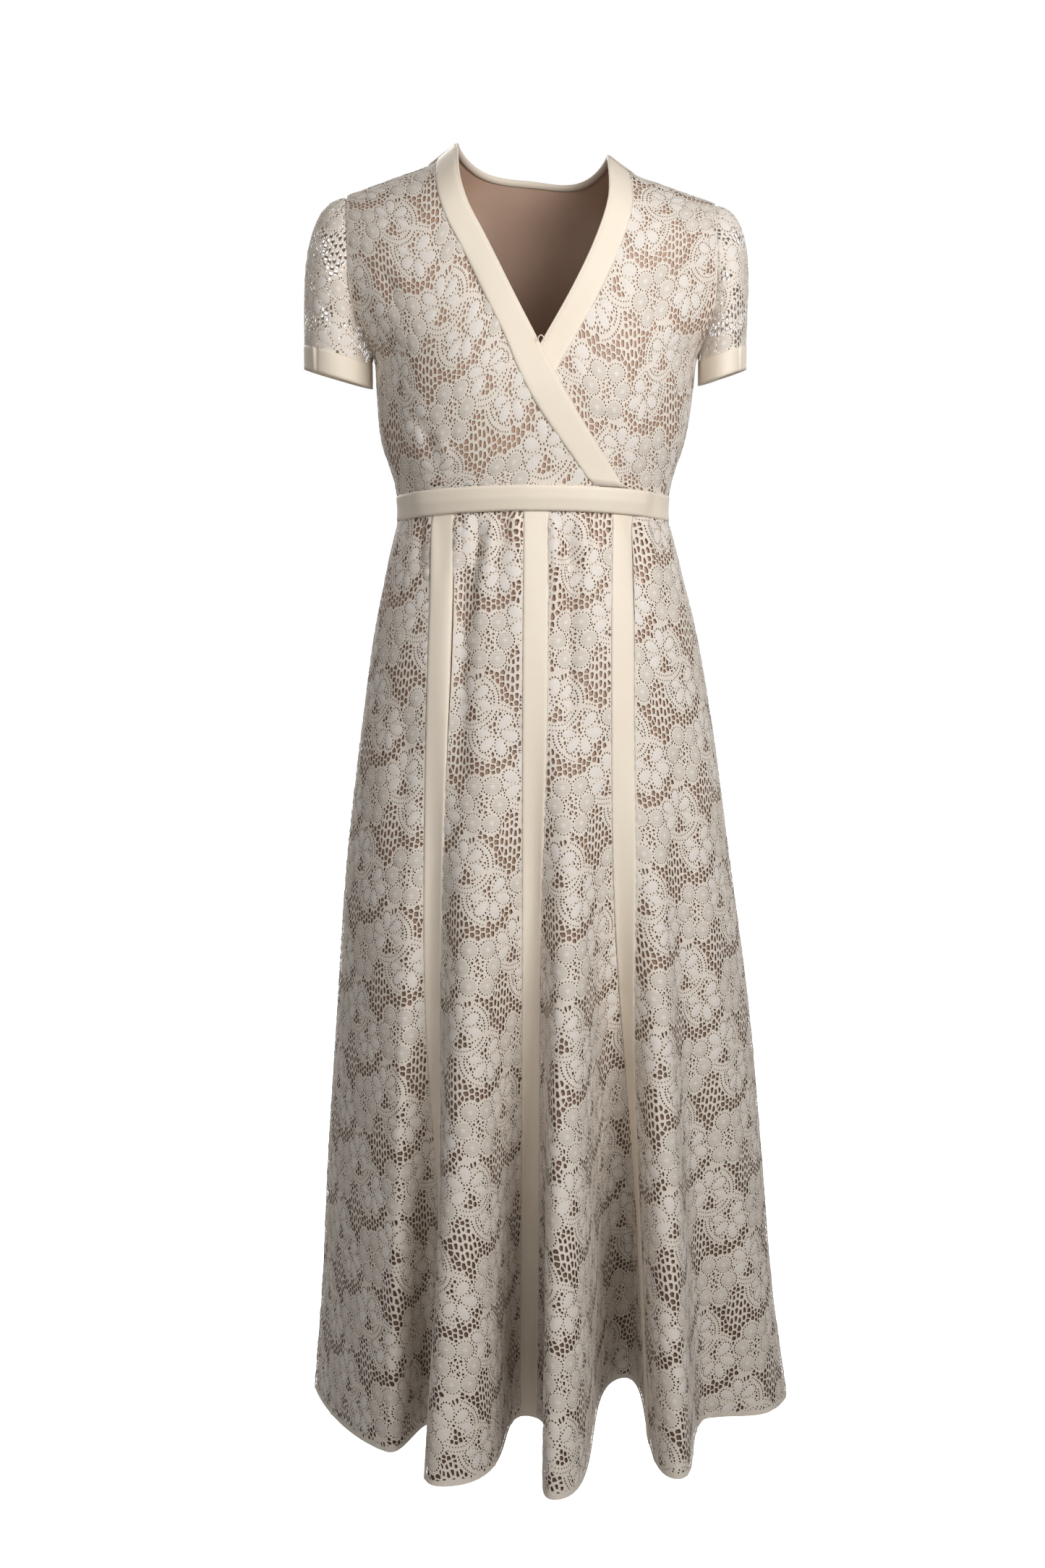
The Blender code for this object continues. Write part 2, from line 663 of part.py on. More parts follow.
def within(corners, slant, u, v):
    """A place in one split face of a grid, at u across and v down."""
    (upper_left, upper_right), (lower_left, lower_right) = corners
    if slant and u + v < 1:
        return upper_left + u * (upper_right - upper_left) + v * (lower_left - upper_left)
    if slant:
        back, up = lower_left - lower_right, upper_right - lower_right
        return lower_right + (1 - u) * back + (1 - v) * up
    if u > v:
        return upper_left + u * (upper_right - upper_left) + v * (lower_right - upper_right)
    return upper_left + v * (lower_left - upper_left) + u * (lower_right - lower_left)


def looks_in(bm, axis):
    """True where a sheet's faces look towards its axis, which is upright."""
    total = 0.0
    for face in bm.faces:
        away = face.calc_center_median() - Vector(axis)
        away.z = 0.0
        total += away.dot(face.normal) * face.calc_area()
    return total < 0


def normals_of(points):
    """The direction out of a bodice sheet at each of its points, from the grid's own faces."""
    down = np.gradient(points, axis=0)
    across = np.gradient(points, axis=1)
    normal = np.cross(across, down)
    normal /= np.linalg.norm(normal, axis=-1)[..., None]
    outward = (normal[..., :2] * points[..., :2]).sum() > 0
    return normal if outward else -normal


def moved_out(points, distance):
    return points + normals_of(points) * np.broadcast_to(distance, points.shape[:2])[..., None]


def material(name, finish):
    colour, roughness = FINISHES[finish]
    made = bpy.data.materials.new(name)
    made.use_nodes = True
    shader = made.node_tree.nodes["Principled BSDF"]
    shader.inputs["Base Color"].default_value = (*colour, 1)
    shader.inputs["Roughness"].default_value = roughness
    return made


# The gaps of the lace. A sheet's flat place is the run across from its first column and the run down.
def lace_gaps(points, seen, warp):
    """The gap's middle and half sizes for each face of a sheet that holds one."""
    rows, columns = points.shape[:2]
    level = np.linalg.norm(np.diff(points, axis=0), axis=-1).mean(axis=1)
    down_run = np.concatenate([[0], np.cumsum(level)])
    found = {}
    for row in range(rows - 1):
        middle = (points[row] + points[row + 1]) / 2
        width = np.linalg.norm(np.diff(middle, axis=0), axis=-1)
        across_run = np.concatenate([[0], np.cumsum(width)])
        for x, y in gap_places(across_run[-1], down_run[row], down_run[row + 1]):
            col = int(np.searchsorted(across_run, x) - 1)
            falling = points[row, col] + points[row + 1, col + 1]
            rising = points[row, col + 1] + points[row + 1, col]
            twist = np.linalg.norm(falling - rising) / 4
            if (row, col) in found or not seen(row, col) or twist > warp:
                continue
            size = np.array([width[col], level[row]])
            half = np.array(GAP_SIZE) / 2 / size
            clear = half + GAP_MARGIN / size
            if clear.max() > 0.48:
                continue
            place = (np.array([x, y]) - (across_run[col], down_run[row])) / size
            found[row, col] = (*np.clip(place, clear, 1 - clear), *half)
    return found


def gap_places(width, top, bottom):
    """Where the repeats' gaps fall in a stretch of the cloth. Every second repeat is half dropped."""
    for tile in range(int(width / REPEAT[0]) + 2):
        drop = REPEAT[1] / 2 * (tile % 2)
        for tile_row in range(int((top - drop) / REPEAT[1]) - 1, int((bottom - drop) / REPEAT[1]) + 1):
            for gap_x, gap_y in GAPS_IN_REPEAT:
                x, y = tile * REPEAT[0] + gap_x, tile_row * REPEAT[1] + gap_y + drop
                if top < y < bottom and 0 < x < width:
                    yield x, y


# Bodice
def lay_layers(form, name, seen, band_rows, band_columns):
    """A bodice panel's lining, its lace and the neck tape on it, each moved out from the one form."""
    sheet(f"bodice_lining_{name[0]}", "lining", form, LINING_WALL)
    lace = moved_out(form, LINING_WALL + SEAM_GAP)
    sheet(f"bodice_lace_{name[0]}", "lace", lace, LACE_WALL, gaps=lace_gaps(lace, seen, GAP_WARP["bodice"]))
    band = moved_out(form, LINING_WALL + LACE_WALL + 2 * SEAM_GAP)
    sheet(f"neck_band_{name[1]}", "tape", band[band_rows, band_columns], TAPE_WALL)


def make_front(side):
    """One front with its neck edge's tape. The wearer's right front laps over the left."""
    form, phi = front_form(side)
    if side == "right":
        form = moved_out(form, lap_lift(form, phi))
    name = "over" if side == "right" else "under"
    across, last = FRONT_FACES["across"], len(form) - 2
    lay_layers(
        form,
        (f"front_{name}", name),
        lambda row, col: col < across and row < last,
        slice(0, -1),
        slice(across, None),
    )
    return form


def make_back():
    form, phi = back_form()
    last = len(form) - 2
    lay_layers(form, ("back", "back"), lambda row, col: 0 < row < last, slice(0, 2), slice(None))
    return form


def make_sleeve(row, front, back):
    """A short sleeve in two halves with a puffed head, and the cuff it is gathered into."""
    side, centre, half_width_x, half_depth, rise, puff = row
    sign = -1 if side == "right" else 1
    count = FRONT_FACES["armhole"]
    first = BACK_FACES["shoulder"] + 1
    heads = {
        "front": front[: count + 1, 0],
        "back": back[first : first + count + 1, 0 if side == "right" else -1],
    }
    for face, head in heads.items():
        depth = -1 if face == "front" else 1
        turn = np.linspace(math.pi, 0, count + 1)
        turn[0] -= SLEEVE_PARTING / half_depth
        turn[-1] += SLEEVE_PARTING / half_depth
        start = head + np.array([sign * (LINING_WALL + LACE_WALL + 2 * SEAM_GAP), 0, 0])
        start[:, 1] = depth * np.maximum(np.abs(start[:, 1]), SLEEVE_PARTING)
        cuff = cuff_oval(turn, sign, centre, half_width_x, depth * half_depth, rise)
        top = (1 - np.cos(turn)) / 2
        leave = np.stack(
            [sign * (0.15 + 0.8 * top), depth * 0.25 * np.sin(turn), (puff + 0.7) * top - 1.0], axis=-1
        )
        reach = (np.linalg.norm(cuff - start, axis=-1) * (0.2 + 0.8 * np.sqrt(top)))[:, None]
        t = np.linspace(0, 1, SLEEVE_ROWS + 1)[:, None, None]
        points = (
            start * (1 + 2 * t) * (1 - t) ** 2
            + cuff * t * t * (3 - 2 * t)
            + leave * reach * t * (1 - t) ** 2
            + np.array([0, 0, -1]) * reach * t * t * (t - 1)
        )
        gaps = lace_gaps(points, lambda row, col: 0 < col < count - 1, GAP_WARP["loose"])
        sheet(
            f"sleeve_{side}_{face}", "lace", points, LACE_WALL, axis=centre, outward=False, gaps=gaps
        )
    turn = np.linspace(0, 2 * math.pi, CUFF_FACES + 1)
    ring = cuff_oval(turn, sign, centre, half_width_x, half_depth, rise)
    rows = np.array([ring - np.array([0, 0, down]) for down in (2 * SEAM_GAP, CUFF_HEIGHT)])
    sheet(f"cuff_{side}", "tape", rows, CUFF_WALL, axis=centre, outward=False, closed=True)


def cuff_oval(turn, sign, centre, half_width_x, depth, rise):
    """Points on the cuff seam. turn is 0 under the arm and a half turn at the outer end."""
    x = centre[0] - sign * half_width_x * np.cos(turn)
    y = centre[1] + depth * np.sin(turn)
    return np.stack([x, y, centre[2] - rise * np.cos(turn)], axis=-1)


def make_waistband():
    """The tape over the waist seam. It stands off the front where the fronts lap."""
    half = WAISTBAND_FACES // 2
    rows = []
    for step, lapped_share in ((0.5, 1.0), (0.0, 1.0), (-0.5, BAND_LAP["lower_edge"])):
        ring = []
        for face, sign in (("front", 1), ("back", -1)):
            phi = np.linspace(-math.pi / 2, math.pi / 2, half + 1)[:-1] * sign
            forward = np.cos(phi) if face == "front" else np.zeros(half)
            z = seam_z(forward) + step * TAPE_WIDTH
            reach = section(face, z) - section("side", z)
            x = middle_x(z) + half_width(z) * np.sin(phi)
            y = section("side", z) + reach * np.cos(phi)
            out = np.stack([np.sin(phi) / half_width(z), np.cos(phi) / reach, np.zeros(half)], axis=-1)
            out /= np.linalg.norm(out, axis=-1)[:, None]
            degrees = np.degrees(phi)
            lapped = ease(degrees, *BAND_LAP["climb"]) * (1 - ease(degrees, *BAND_LAP["fall"]))
            lapped = lapped * (face == "front")
            away = LINING_WALL + LACE_WALL + 4 * SEAM_GAP + (LAP_LIFT + SEAM_GAP) * lapped * lapped_share
            ring.append(np.stack([x, y, z], axis=-1) + out * away[:, None])
        ring = np.concatenate(ring)
        rows.append(np.concatenate([ring, ring[:1]]))
    sheet("waistband", "tape", np.array(rows), TAPE_WALL, closed=True)


# Skirt
def skirt_cloth(levels, move_at, gathers):
    """The cloth's grid at these levels, and which way each of its faces is split."""
    cloth = np.array([skirt_row(v, move_at(v), gathers) for v in levels])
    slants = []
    for k, (v, below) in enumerate(zip(levels, levels[1:])):
        half = (v + below) / 2
        true = skirt_row(half, move_at(half), gathers)
        true = (true[1:] + true[:-1]) / 2
        rising = (cloth[k, 1:] + cloth[k + 1, :-1]) / 2
        falling = (cloth[k, :-1] + cloth[k + 1, 1:]) / 2
        off = [np.linalg.norm(way - true, axis=-1) for way in (rising, falling)]
        slants.append(off[0] < off[1])
    return cloth, np.array(slants)


def make_skirt():
    split = front_columns()
    starts = tape_columns()
    under_tape = {start + k for start in starts for k in range(TAPE_FACES)}
    last = len(SKIRT_ROWS) - 1
    lace, slants = skirt_cloth(SKIRT_ROWS, lambda v: LINING_WALL + SEAM_GAP, True)
    loose = GAP_WARP["loose"]
    gaps = lace_gaps(lace[:, :split], lambda row, col: col not in under_tape and 0 < row < last, loose)
    ways = slants[:, : split - 1]
    sheet("skirt_lace_front", "lace", lace[:, :split], LACE_WALL, gaps=gaps, slants=ways)
    gaps = lace_gaps(lace[:, split:], lambda row, col: 0 < row < last, loose)
    sheet("skirt_lace_back", "lace", lace[:, split:], LACE_WALL, gaps=gaps, slants=slants[:, split:])
    raised = moved_out(lace, LACE_WALL + 2 * SEAM_GAP)
    for side, start in zip(TAPES, starts):
        end = start + TAPE_FACES
        sheet(
            f"skirt_tape_{side}",
            "tape",
            raised[1:, start : end + 1],
            TAPE_WALL,
            slants=slants[1:, start:end],
        )
    lowest = 1 - LINING_HEM_SHORT / (WAIST_SEAM_SIDE - HEM_LEVEL)
    levels = [min(SKIRT_ROWS[k], lowest) for k in LINING_ROWS]
    near, far = LINING_INSIDE
    lining, ways = skirt_cloth(levels, lambda v: -near - (far - near) * v, False)
    for k, (row, below) in enumerate(zip(LINING_ROWS, LINING_ROWS[1:])):
        if below == row + 1:
            ways[k] = slants[row]
    for face, points, split_ways in (
        ("front", lining[:, :split], ways[:, : split - 1]),
        ("back", lining[:, split:], ways[:, split:]),
    ):
        sheet(f"skirt_lining_{face}", "lining", points, LINING_WALL, outward=False, slants=split_ways)


def tape_columns():
    """The first column of points of each tape."""
    starts, at = [], 0
    for gore in GORES[:3]:
        at += gore[1]
        starts.append(at)
        at += TAPE_FACES
    return starts


for old in list(bpy.data.objects):
    bpy.data.objects.remove(old, do_unlink=True)
PARTS = bpy.data.collections.new("lace_maxi_dress")
bpy.context.scene.collection.children.link(PARTS)

fronts_made = {"right": make_front("right"), "left": make_front("left")}
back_made = make_back()
for sleeve_row in SLEEVES:
    make_sleeve(sleeve_row, fronts_made[sleeve_row[0]], back_made)
make_waistband()
make_skirt()
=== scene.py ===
"""Look of the lace maxi dress: cut lace over its lining, tape trim, light and camera, on the CAD frame."""

import math
import random

import bpy
import numpy as np
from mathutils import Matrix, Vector
from mathutils.geometry import delaunay_2d_cdt


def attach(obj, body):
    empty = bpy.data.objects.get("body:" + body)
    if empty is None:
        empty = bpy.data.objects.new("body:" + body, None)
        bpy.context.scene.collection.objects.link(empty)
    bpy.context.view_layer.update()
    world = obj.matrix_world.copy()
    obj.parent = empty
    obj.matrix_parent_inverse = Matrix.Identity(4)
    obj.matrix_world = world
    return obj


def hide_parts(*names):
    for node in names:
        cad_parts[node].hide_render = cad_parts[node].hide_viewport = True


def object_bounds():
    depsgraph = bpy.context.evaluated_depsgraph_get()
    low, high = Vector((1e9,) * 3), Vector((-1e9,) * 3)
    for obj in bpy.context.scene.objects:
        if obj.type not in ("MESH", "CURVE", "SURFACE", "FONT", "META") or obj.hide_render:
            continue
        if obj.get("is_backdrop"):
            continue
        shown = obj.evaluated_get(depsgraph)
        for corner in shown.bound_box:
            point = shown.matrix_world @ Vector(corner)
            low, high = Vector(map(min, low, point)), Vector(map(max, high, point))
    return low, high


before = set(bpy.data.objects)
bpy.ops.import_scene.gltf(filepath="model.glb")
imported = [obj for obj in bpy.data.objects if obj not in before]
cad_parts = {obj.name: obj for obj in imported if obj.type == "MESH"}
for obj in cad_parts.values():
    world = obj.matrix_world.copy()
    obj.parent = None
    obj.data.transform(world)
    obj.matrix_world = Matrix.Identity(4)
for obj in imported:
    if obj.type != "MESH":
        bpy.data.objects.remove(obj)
CAD_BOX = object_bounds()

# Seams and trim, in metres as everything but the lace's repeat and the creases
SEAM_GAP = 0.0003
TAPE_WIDTH = 0.026
CUFF_HEIGHT = 0.024
TAPE_THICKNESS = 0.0011
CUFF_THICKNESS = 0.0014

# How far each layer stands off the form
LACE_OUT = 0.0019
TAPE_OUT = 0.0029
WAISTBAND_OUT = 0.0036
LINING_OUT = {"bodice": 0.0006, "waist": -0.0002, "hem": -0.0004}

# Heights
WAIST_SEAM_SIDE = -0.368
WAIST_SEAM_FRONT_RISE = 0.012
HEM_LEVEL = -1.361
ARMPIT_LEVEL = -0.208

# How far above the waistband the neck bands end
WAISTBAND_CLEAR = 0.0026

# How far the lapped front stands off the front under it, and where it comes back to the form
LAP_LIFT = 0.0062
LAP_START = {"phi": (-64, -42), "z": (-0.095, -0.19)}

# The turns in degrees between which the waistband climbs on to the lapped front and comes off it, and
# how much of the lift its lower edge keeps
BAND_LAP = {"climb": (-68, -50), "fall": (50, 62), "lower_edge": 0.35}

# The outline of the dress, one row for each level: its left and right edge seen from the front, and
# its foremost, side and rearmost depth. The skirt's folds are added to it.
SECTION_COLUMNS = ("z", "left", "right", "front", "side", "back")
SECTIONS = (
    (-1.361, -0.24, 0.29, -0.07, 0.11, 0.25),
    (-1.236, -0.229, 0.271, -0.085, 0.092, 0.238),
    (-1.086, -0.22, 0.256, -0.103, 0.072, 0.22),
    (-0.906, -0.206, 0.237, -0.122, 0.045, 0.195),
    (-0.736, -0.192, 0.212, -0.13, 0.02, 0.17),
    (-0.586, -0.173, 0.19, -0.126, 0.008, 0.14),
    (-0.486, -0.158, 0.171, -0.118, 0.003, 0.115),
    (-0.425, -0.145, 0.155, -0.109, 0.001, 0.098),
    (-0.368, -0.134, 0.142, -0.102, 0.0, 0.089),
    (-0.34, -0.138, 0.146, -0.106, 0.0, 0.089),
    (-0.3, -0.151, 0.159, -0.115, 0.0, 0.092),
    (-0.245, -0.156, 0.168, -0.12, 0.0, 0.097),
    (-0.208, -0.16, 0.173, -0.117, 0.0, 0.1),
    (-0.18, -0.178, 0.189, -0.112, 0.0, 0.102),
    (-0.14, -0.196, 0.203, -0.105, 0.0, 0.102),
    (-0.09, -0.205, 0.21, -0.096, 0.0, 0.1),
    (-0.04, -0.21, 0.212, -0.088, 0.0, 0.094),
    (0.04, -0.212, 0.214, -0.08, 0.0, 0.085),
)

# The line where front and back meet on the shoulders, run on across the neck
SHOULDER_COLUMNS = ("x", "z")
SHOULDER_LINE = (
    (-0.22, -0.062),
    (-0.186, -0.049),
    (-0.139, -0.032),
    (-0.095, -0.014),
    (-0.073, 0.004),
    (0.0, 0.035),
    (0.08, -0.008),
    (0.104, -0.026),
    (0.13, -0.036),
    (0.19, -0.057),
    (0.22, -0.068),
)
SHOULDER_ROUND = {"front": 0.07, "back": 0.06}
SHOULDER_TIP_X = {"right": -0.186, "left": 0.19}
NECK_POINT_X = {"right": -0.073, "left": 0.08}
BACK_NECK_LEVEL = -0.022
ARMHOLE_CURVE = 3.4

# The turn in radians that leaves half a seam's gap at the sides
SIDE_GAP_TURN = SEAM_GAP / 0.12

# The length of the back's shoulder edge over its width
SHOULDER_SLOPE = 1.1

# The neck edge of each front from the waist seam up to the neck point
EDGE_COLUMNS = ("z", "x")
OVER_EDGE = (
    (-0.36, 0.1),
    (-0.344, 0.091),
    (-0.207, 0.0104),
    (-0.09, -0.048),
    (-0.065, -0.061),
    (-0.04, -0.069),
    (0.004, -0.073),
)
UNDER_EDGE = (
    (-0.362, -0.08),
    (-0.345, -0.07),
    (-0.207, 0.0104),
    (-0.145, 0.045),
    (-0.1, 0.066),
    (-0.06, 0.079),
    (-0.008, 0.08),
)

# The bust cups: one soft rise on each side of the front
BUST = {"x": 0.078, "z": -0.232, "radius": 0.06, "height": 0.011}

# The skirt's folds, in order round the dress from its left edge. A front fold is a straight line seen
# from the front. kind: a side point keeps to the outline. lift: how far the hem is drawn up there.
# round: how full the fold's turn is at the hem. start: the share of the length where it begins.
FOLD_COLUMNS = ("face", "waist_x", "hem_x", "hem_y", "lift", "round", "start")
FOLDS = (
    ("side", -1.0, -0.24, 0.112, 0.0, 0.9, 0.1),
    ("front", -0.112, -0.15, -0.074, 0.0, 0.8, 0.2),
    ("front", -0.094, -0.104, -0.006, 0.004, 0.95, 0.16),
    ("front", -0.043, -0.08, -0.166, 0.0, 1.15, 0.1),
    ("front", 0.007, 0.001, 0.02, 0.004, 0.7, 0.22),
    ("front", 0.041, 0.03, -0.2, 0.0, 0.6, 0.14),
    ("front", 0.074, 0.104, 0.068, 0.03, 0.6, 0.22),
    ("front", 0.112, 0.149, -0.146, 0.0, 0.62, 0.26),
    ("front", 0.127, 0.19, 0.008, 0.004, 0.8, 0.26),
    ("front", 0.137, 0.262, 0.034, 0.002, 0.9, 0.3),
    ("side", 1.0, 0.29, 0.112, 0.0, 0.9, 0.1),
    ("back", 0.128, 0.246, 0.238, 0.0, 0.9, 0.22),
    ("back", 0.112, 0.186, 0.176, 0.006, 0.8, 0.26),
    ("back", 0.08, 0.128, 0.296, 0.0, 0.8, 0.16),
    ("back", 0.045, 0.064, 0.19, 0.006, 0.8, 0.3),
    ("back", 0.01, 0.002, 0.316, 0.0, 0.8, 0.2),
    ("back", -0.03, -0.056, 0.206, 0.006, 0.8, 0.24),
    ("back", -0.068, -0.116, 0.292, 0.0, 0.8, 0.14),
    ("back", -0.1, -0.168, 0.182, 0.006, 0.8, 0.28),
    ("back", -0.12, -0.214, 0.228, 0.0, 0.9, 0.22),
)
FOLD_GROWTH = 1.45

# The share of the length over which the folds' turns go from even to square with their neighbours
TURNS_SET = (0.15, 0.7)

# Where the back starts among the folds, at the wearer's left side
BACK_START = 10.0

# The skirt tapes: where each lies among the folds, counted in rows of FOLDS, down the skirt
TAPE_STATIONS = (0.0, 0.3, 0.6, 0.85, 1.0)
TAPES = {
    "right": (2.18, 2.06, 2.1, 2.48, 2.66),
    "centre": (4.0, 4.0, 4.0, 4.0, 4.0),
    "left": (6.5, 6.3, 6.36, 6.56, 6.62),
}

# The skirt's gores: the marks round the ring where each starts and ends, its columns, the place of its lace
# repeat in millimetres, and its gathers: how many, how high, and how far down as a share of the length
GORES = (
    ("right_side", 0, 1, 120, (-30, -60), 3, 0.002, 0.1),
    ("right_of_centre", 2, 3, 120, (-30, -52), 3, 0.0042, 0.16),
    ("left_of_centre", 4, 5, 200, (-42, -52), 3, 0.0034, 0.14),
    ("left_side", 6, 7, 120, (10, -20), 3, 0.0022, 0.1),
    ("back", 7, 8, 400, (0, -70), 9, 0.0026, 0.12),
)
SKIRT_LEVELS = np.concatenate([np.linspace(0, 0.16, 24)[:-1], np.linspace(0.16, 1, 84)[:-1], [0.9968, 1.0]])
POINTS_PER_FOLD = 20
TAPE_COLUMNS = 9
LINING_COLUMNS = {"front": 250, "back": 170}

# How a gather starts below the waistband, and how uneven gathers are: the shift of each, and the range of
# its width, height and length
GATHER_START = (0.008, 0.028)
GATHER_WIDTH = 0.26
GATHER_SHIFT = (-0.28, 0.28)
GATHER_RANGES = ((0.6, 1.1), (0.4, 1.0), (0.3, 0.9))

# Each front: the name of its pieces, the upright line on its straight grain, and the place of its repeat
FRONTS = {"right": ("over", -0.115, (-42, 12)), "left": ("under", 0.12, (20, 58))}
FRONT_FACES = {"armhole": 24, "side": 14, "across": 34, "band": 6}
BACK_FACES = {"shoulder": 8, "armhole": 24, "side": 14, "across": 56}
BACK_SHIFT = (-30, 20)
LACE_COLUMNS = {"front": 64, "back": 110}

# Each sleeve's cuff seam, an oval whose outer end is the higher: its side, centre, half width, half depth
# and outer rise, how full the sleeve's head is, and the place of the lace repeat in millimetres
SLEEVES = (
    ("right", (-0.1984, 0.01, -0.2095), 0.035, 0.054, 0.01, 0.22, (0, -14)),
    ("left", (0.2008, 0.007, -0.208), 0.0242, 0.056, 0.008, 0.22, (-70, -30)),
)
SLEEVE_GRID = (33, 50)
SLEEVE_PARTING = 0.0012
RUCK_HEIGHT = 0.003

# The cuffs' rows and points round, how far they stand off the seam, and the pleat: a ridge and a trough,
# each with its height, its place in radians short of a full turn, and its width. The last row keeps a
# share of it
CUFF_ROWS, CUFF_POINTS = 9, 161
CUFF_OUT = 0.0006
CUFF_PLEAT = ((0.0017, 2.25, 0.05), (-0.0015, 2.14, 0.04))
CUFF_PLEAT_LOW = 0.35

# The waistband's rows and points round each half, and how far its edges are drawn in
BAND_ROWS, BAND_POINTS = 11, 96
BAND_EDGE = 0.0008

# Tables and curves
def column(table, columns, name):
    at = columns.index(name)
    return np.array([row[at] for row in table], dtype=float)


def hermite(t, start, end, leave, arrive):
    """A cubic from start to end with the slopes given at its ends."""
    return (
        start * (1 + 2 * t) * (1 - t) ** 2
        + end * t * t * (3 - 2 * t)
        + leave * t * (1 - t) ** 2
        + arrive * t * t * (t - 1)
    )


def through(xs, ys, x):
    """A smooth curve through a short table whose xs rise."""
    slopes = np.gradient(ys, xs)
    x = np.clip(x, xs[0], xs[-1])
    k = np.clip(np.searchsorted(xs, x) - 1, 0, len(xs) - 2)
    h = xs[k + 1] - xs[k]
    return hermite((x - xs[k]) / h, ys[k], ys[k + 1], slopes[k] * h, slopes[k + 1] * h)


def unit(vectors):
    return vectors / np.linalg.norm(vectors, axis=-1)[..., None]


def run_along(points, axis=0):
    """The distance along a line of points, or along every line of a grid."""
    steps = np.linalg.norm(np.diff(points, axis=axis), axis=-1)
    return np.insert(np.cumsum(steps, axis=axis), 0, 0, axis=axis)


def between(at, run, values):
    """Rows of values again, at other places than those that run gives for them."""
    return np.stack([np.interp(at, run, values[:, n]) for n in range(values.shape[1])], axis=-1)


def section(name, z):
    return through(column(SECTIONS, SECTION_COLUMNS, "z"), column(SECTIONS, SECTION_COLUMNS, name), z)


def shoulder_z(x):
    xs, zs = (column(SHOULDER_LINE, SHOULDER_COLUMNS, name) for name in SHOULDER_COLUMNS)
    return through(xs, zs, x)


def ease(value, start, end):
    """0 before start and 1 after end, with a soft step between."""
    t = np.clip((value - start) / (end - start), 0.0, 1.0)
    return t * t * (3 - 2 * t)


def half_width(z):
    return (section("right", z) - section("left", z)) / 2


def middle_x(z):
    return (section("right", z) + section("left", z)) / 2


def seam_z(forward):
    """The waist seam's level: forward is 1 at the middle of the front and 0 from the sides back."""
    return WAIST_SEAM_SIDE + WAIST_SEAM_FRONT_RISE * np.clip(forward, 0, 1) ** 1.5


# The bodice's form. phi is the angle round it, -90 to 90 degrees from edge to edge on the front or the
# back, and down is the distance down the cloth from the shoulder line.
def down_of(face, x, z):
    radius = SHOULDER_ROUND[face]
    drop = np.maximum(shoulder_z(x) - z, 0.0)
    turned = radius * np.arccos(np.clip(1 - drop / radius, -1, 1))
    return np.where(drop < radius, turned, radius * (math.pi / 2 - 1) + drop)


def phi_of(x, z):
    return np.arcsin(np.clip((x - middle_x(z)) / half_width(z), -1, 1))


def torso(face, phi, down):
    """Points on the form, where phi and down are arrays of one shape."""
    radius = SHOULDER_ROUND[face]
    turn = np.minimum(down / radius, math.pi / 2)
    drop = radius * (1 - np.cos(turn)) + np.maximum(down - radius * math.pi / 2, 0)
    x = 0.15 * np.sin(phi)
    for _ in range(12):
        z = shoulder_z(x) - drop
        x = middle_x(z) + half_width(z) * np.sin(phi)
    reach = section(face, z) - section("side", z)
    y = section("side", z) + reach * np.cos(phi) * np.sin(turn)
    if face == "front":
        for side in (-1, 1):
            away = np.hypot(x - middle_x(z) - side * BUST["x"], z - BUST["z"]) / BUST["radius"]
            y = y - BUST["height"] * np.exp(-(away**2))
    return np.stack([x, y, z], axis=-1)


def lap_lift(points, phi):
    lo, hi = LAP_START["phi"]
    high, low = LAP_START["z"]
    across = ease(np.degrees(phi), lo, hi)
    return LAP_LIFT * across * ease(-points[..., 2], -high, -low)


def patch(top, bottom, left, right):
    """Fills a grid between four edges that share their corners, in phi and down."""
    rows, columns = len(left), len(top)
    v = np.linspace(0, 1, rows)[:, None, None]
    u = np.linspace(0, 1, columns)[None, :, None]
    corners = (
        (1 - u) * (1 - v) * top[0] + u * (1 - v) * top[-1] + (1 - u) * v * bottom[0] + u * v * bottom[-1]
    )
    return ((1 - v) * top[None] + v * bottom[None] + (1 - u) * left[:, None] + u * right[:, None] - corners)


def armhole(face, side, count):
    """From the shoulder tip down to the armpit."""
    tip_x = SHOULDER_TIP_X[side]
    sign = math.copysign(1, tip_x)
    tip = float(phi_of(tip_x, shoulder_z(tip_x)))
    side_x = section(side_edge(side), ARMPIT_LEVEL)
    deepest = float(down_of(face, side_x, ARMPIT_LEVEL))
    t = np.linspace(0, 1, count + 1)
    end = sign * (math.pi / 2 - SIDE_GAP_TURN)
    phi = tip + (end - tip) * t**ARMHOLE_CURVE
    return np.stack([phi, SEAM_GAP + deepest * t], axis=-1)


def side_edge(side):
    """The outline's column for the wearer's side: the wearer's right is the outline's left."""
    return "left" if side == "right" else "right"


def side_seam(face, side, count):
    """From the armpit down to the waist seam. The last row lies under the waistband."""
    sign = -1 if side == "right" else 1
    top = armhole(face, side, 1)[-1]
    z_low = WAIST_SEAM_SIDE + SEAM_GAP
    z = np.append(np.linspace(ARMPIT_LEVEL, z_low + TAPE_WIDTH / 2 + SEAM_GAP, count + 1)[1:], z_low)
    x = section(side_edge(side), z)
    phi = np.full(len(z), sign * (math.pi / 2 - SIDE_GAP_TURN))
    return np.concatenate([top[None], np.stack([phi, down_of(face, x, z)], axis=-1)])


def waist_edge(face, phi_from, phi_to, count):
    phi = np.linspace(phi_from, phi_to, count + 1)
    forward = np.cos(phi) if face == "front" else np.zeros(count + 1)
    z = seam_z(forward) + SEAM_GAP
    x = middle_x(z) + half_width(z) * np.sin(phi)
    return np.stack([phi, down_of(face, x, z)], axis=-1)


def spaced(points, stations):
    """Points at shares of the length of a polyline."""
    run = run_along(points)
    return between(np.asarray(stations) * run[-1], run, points)


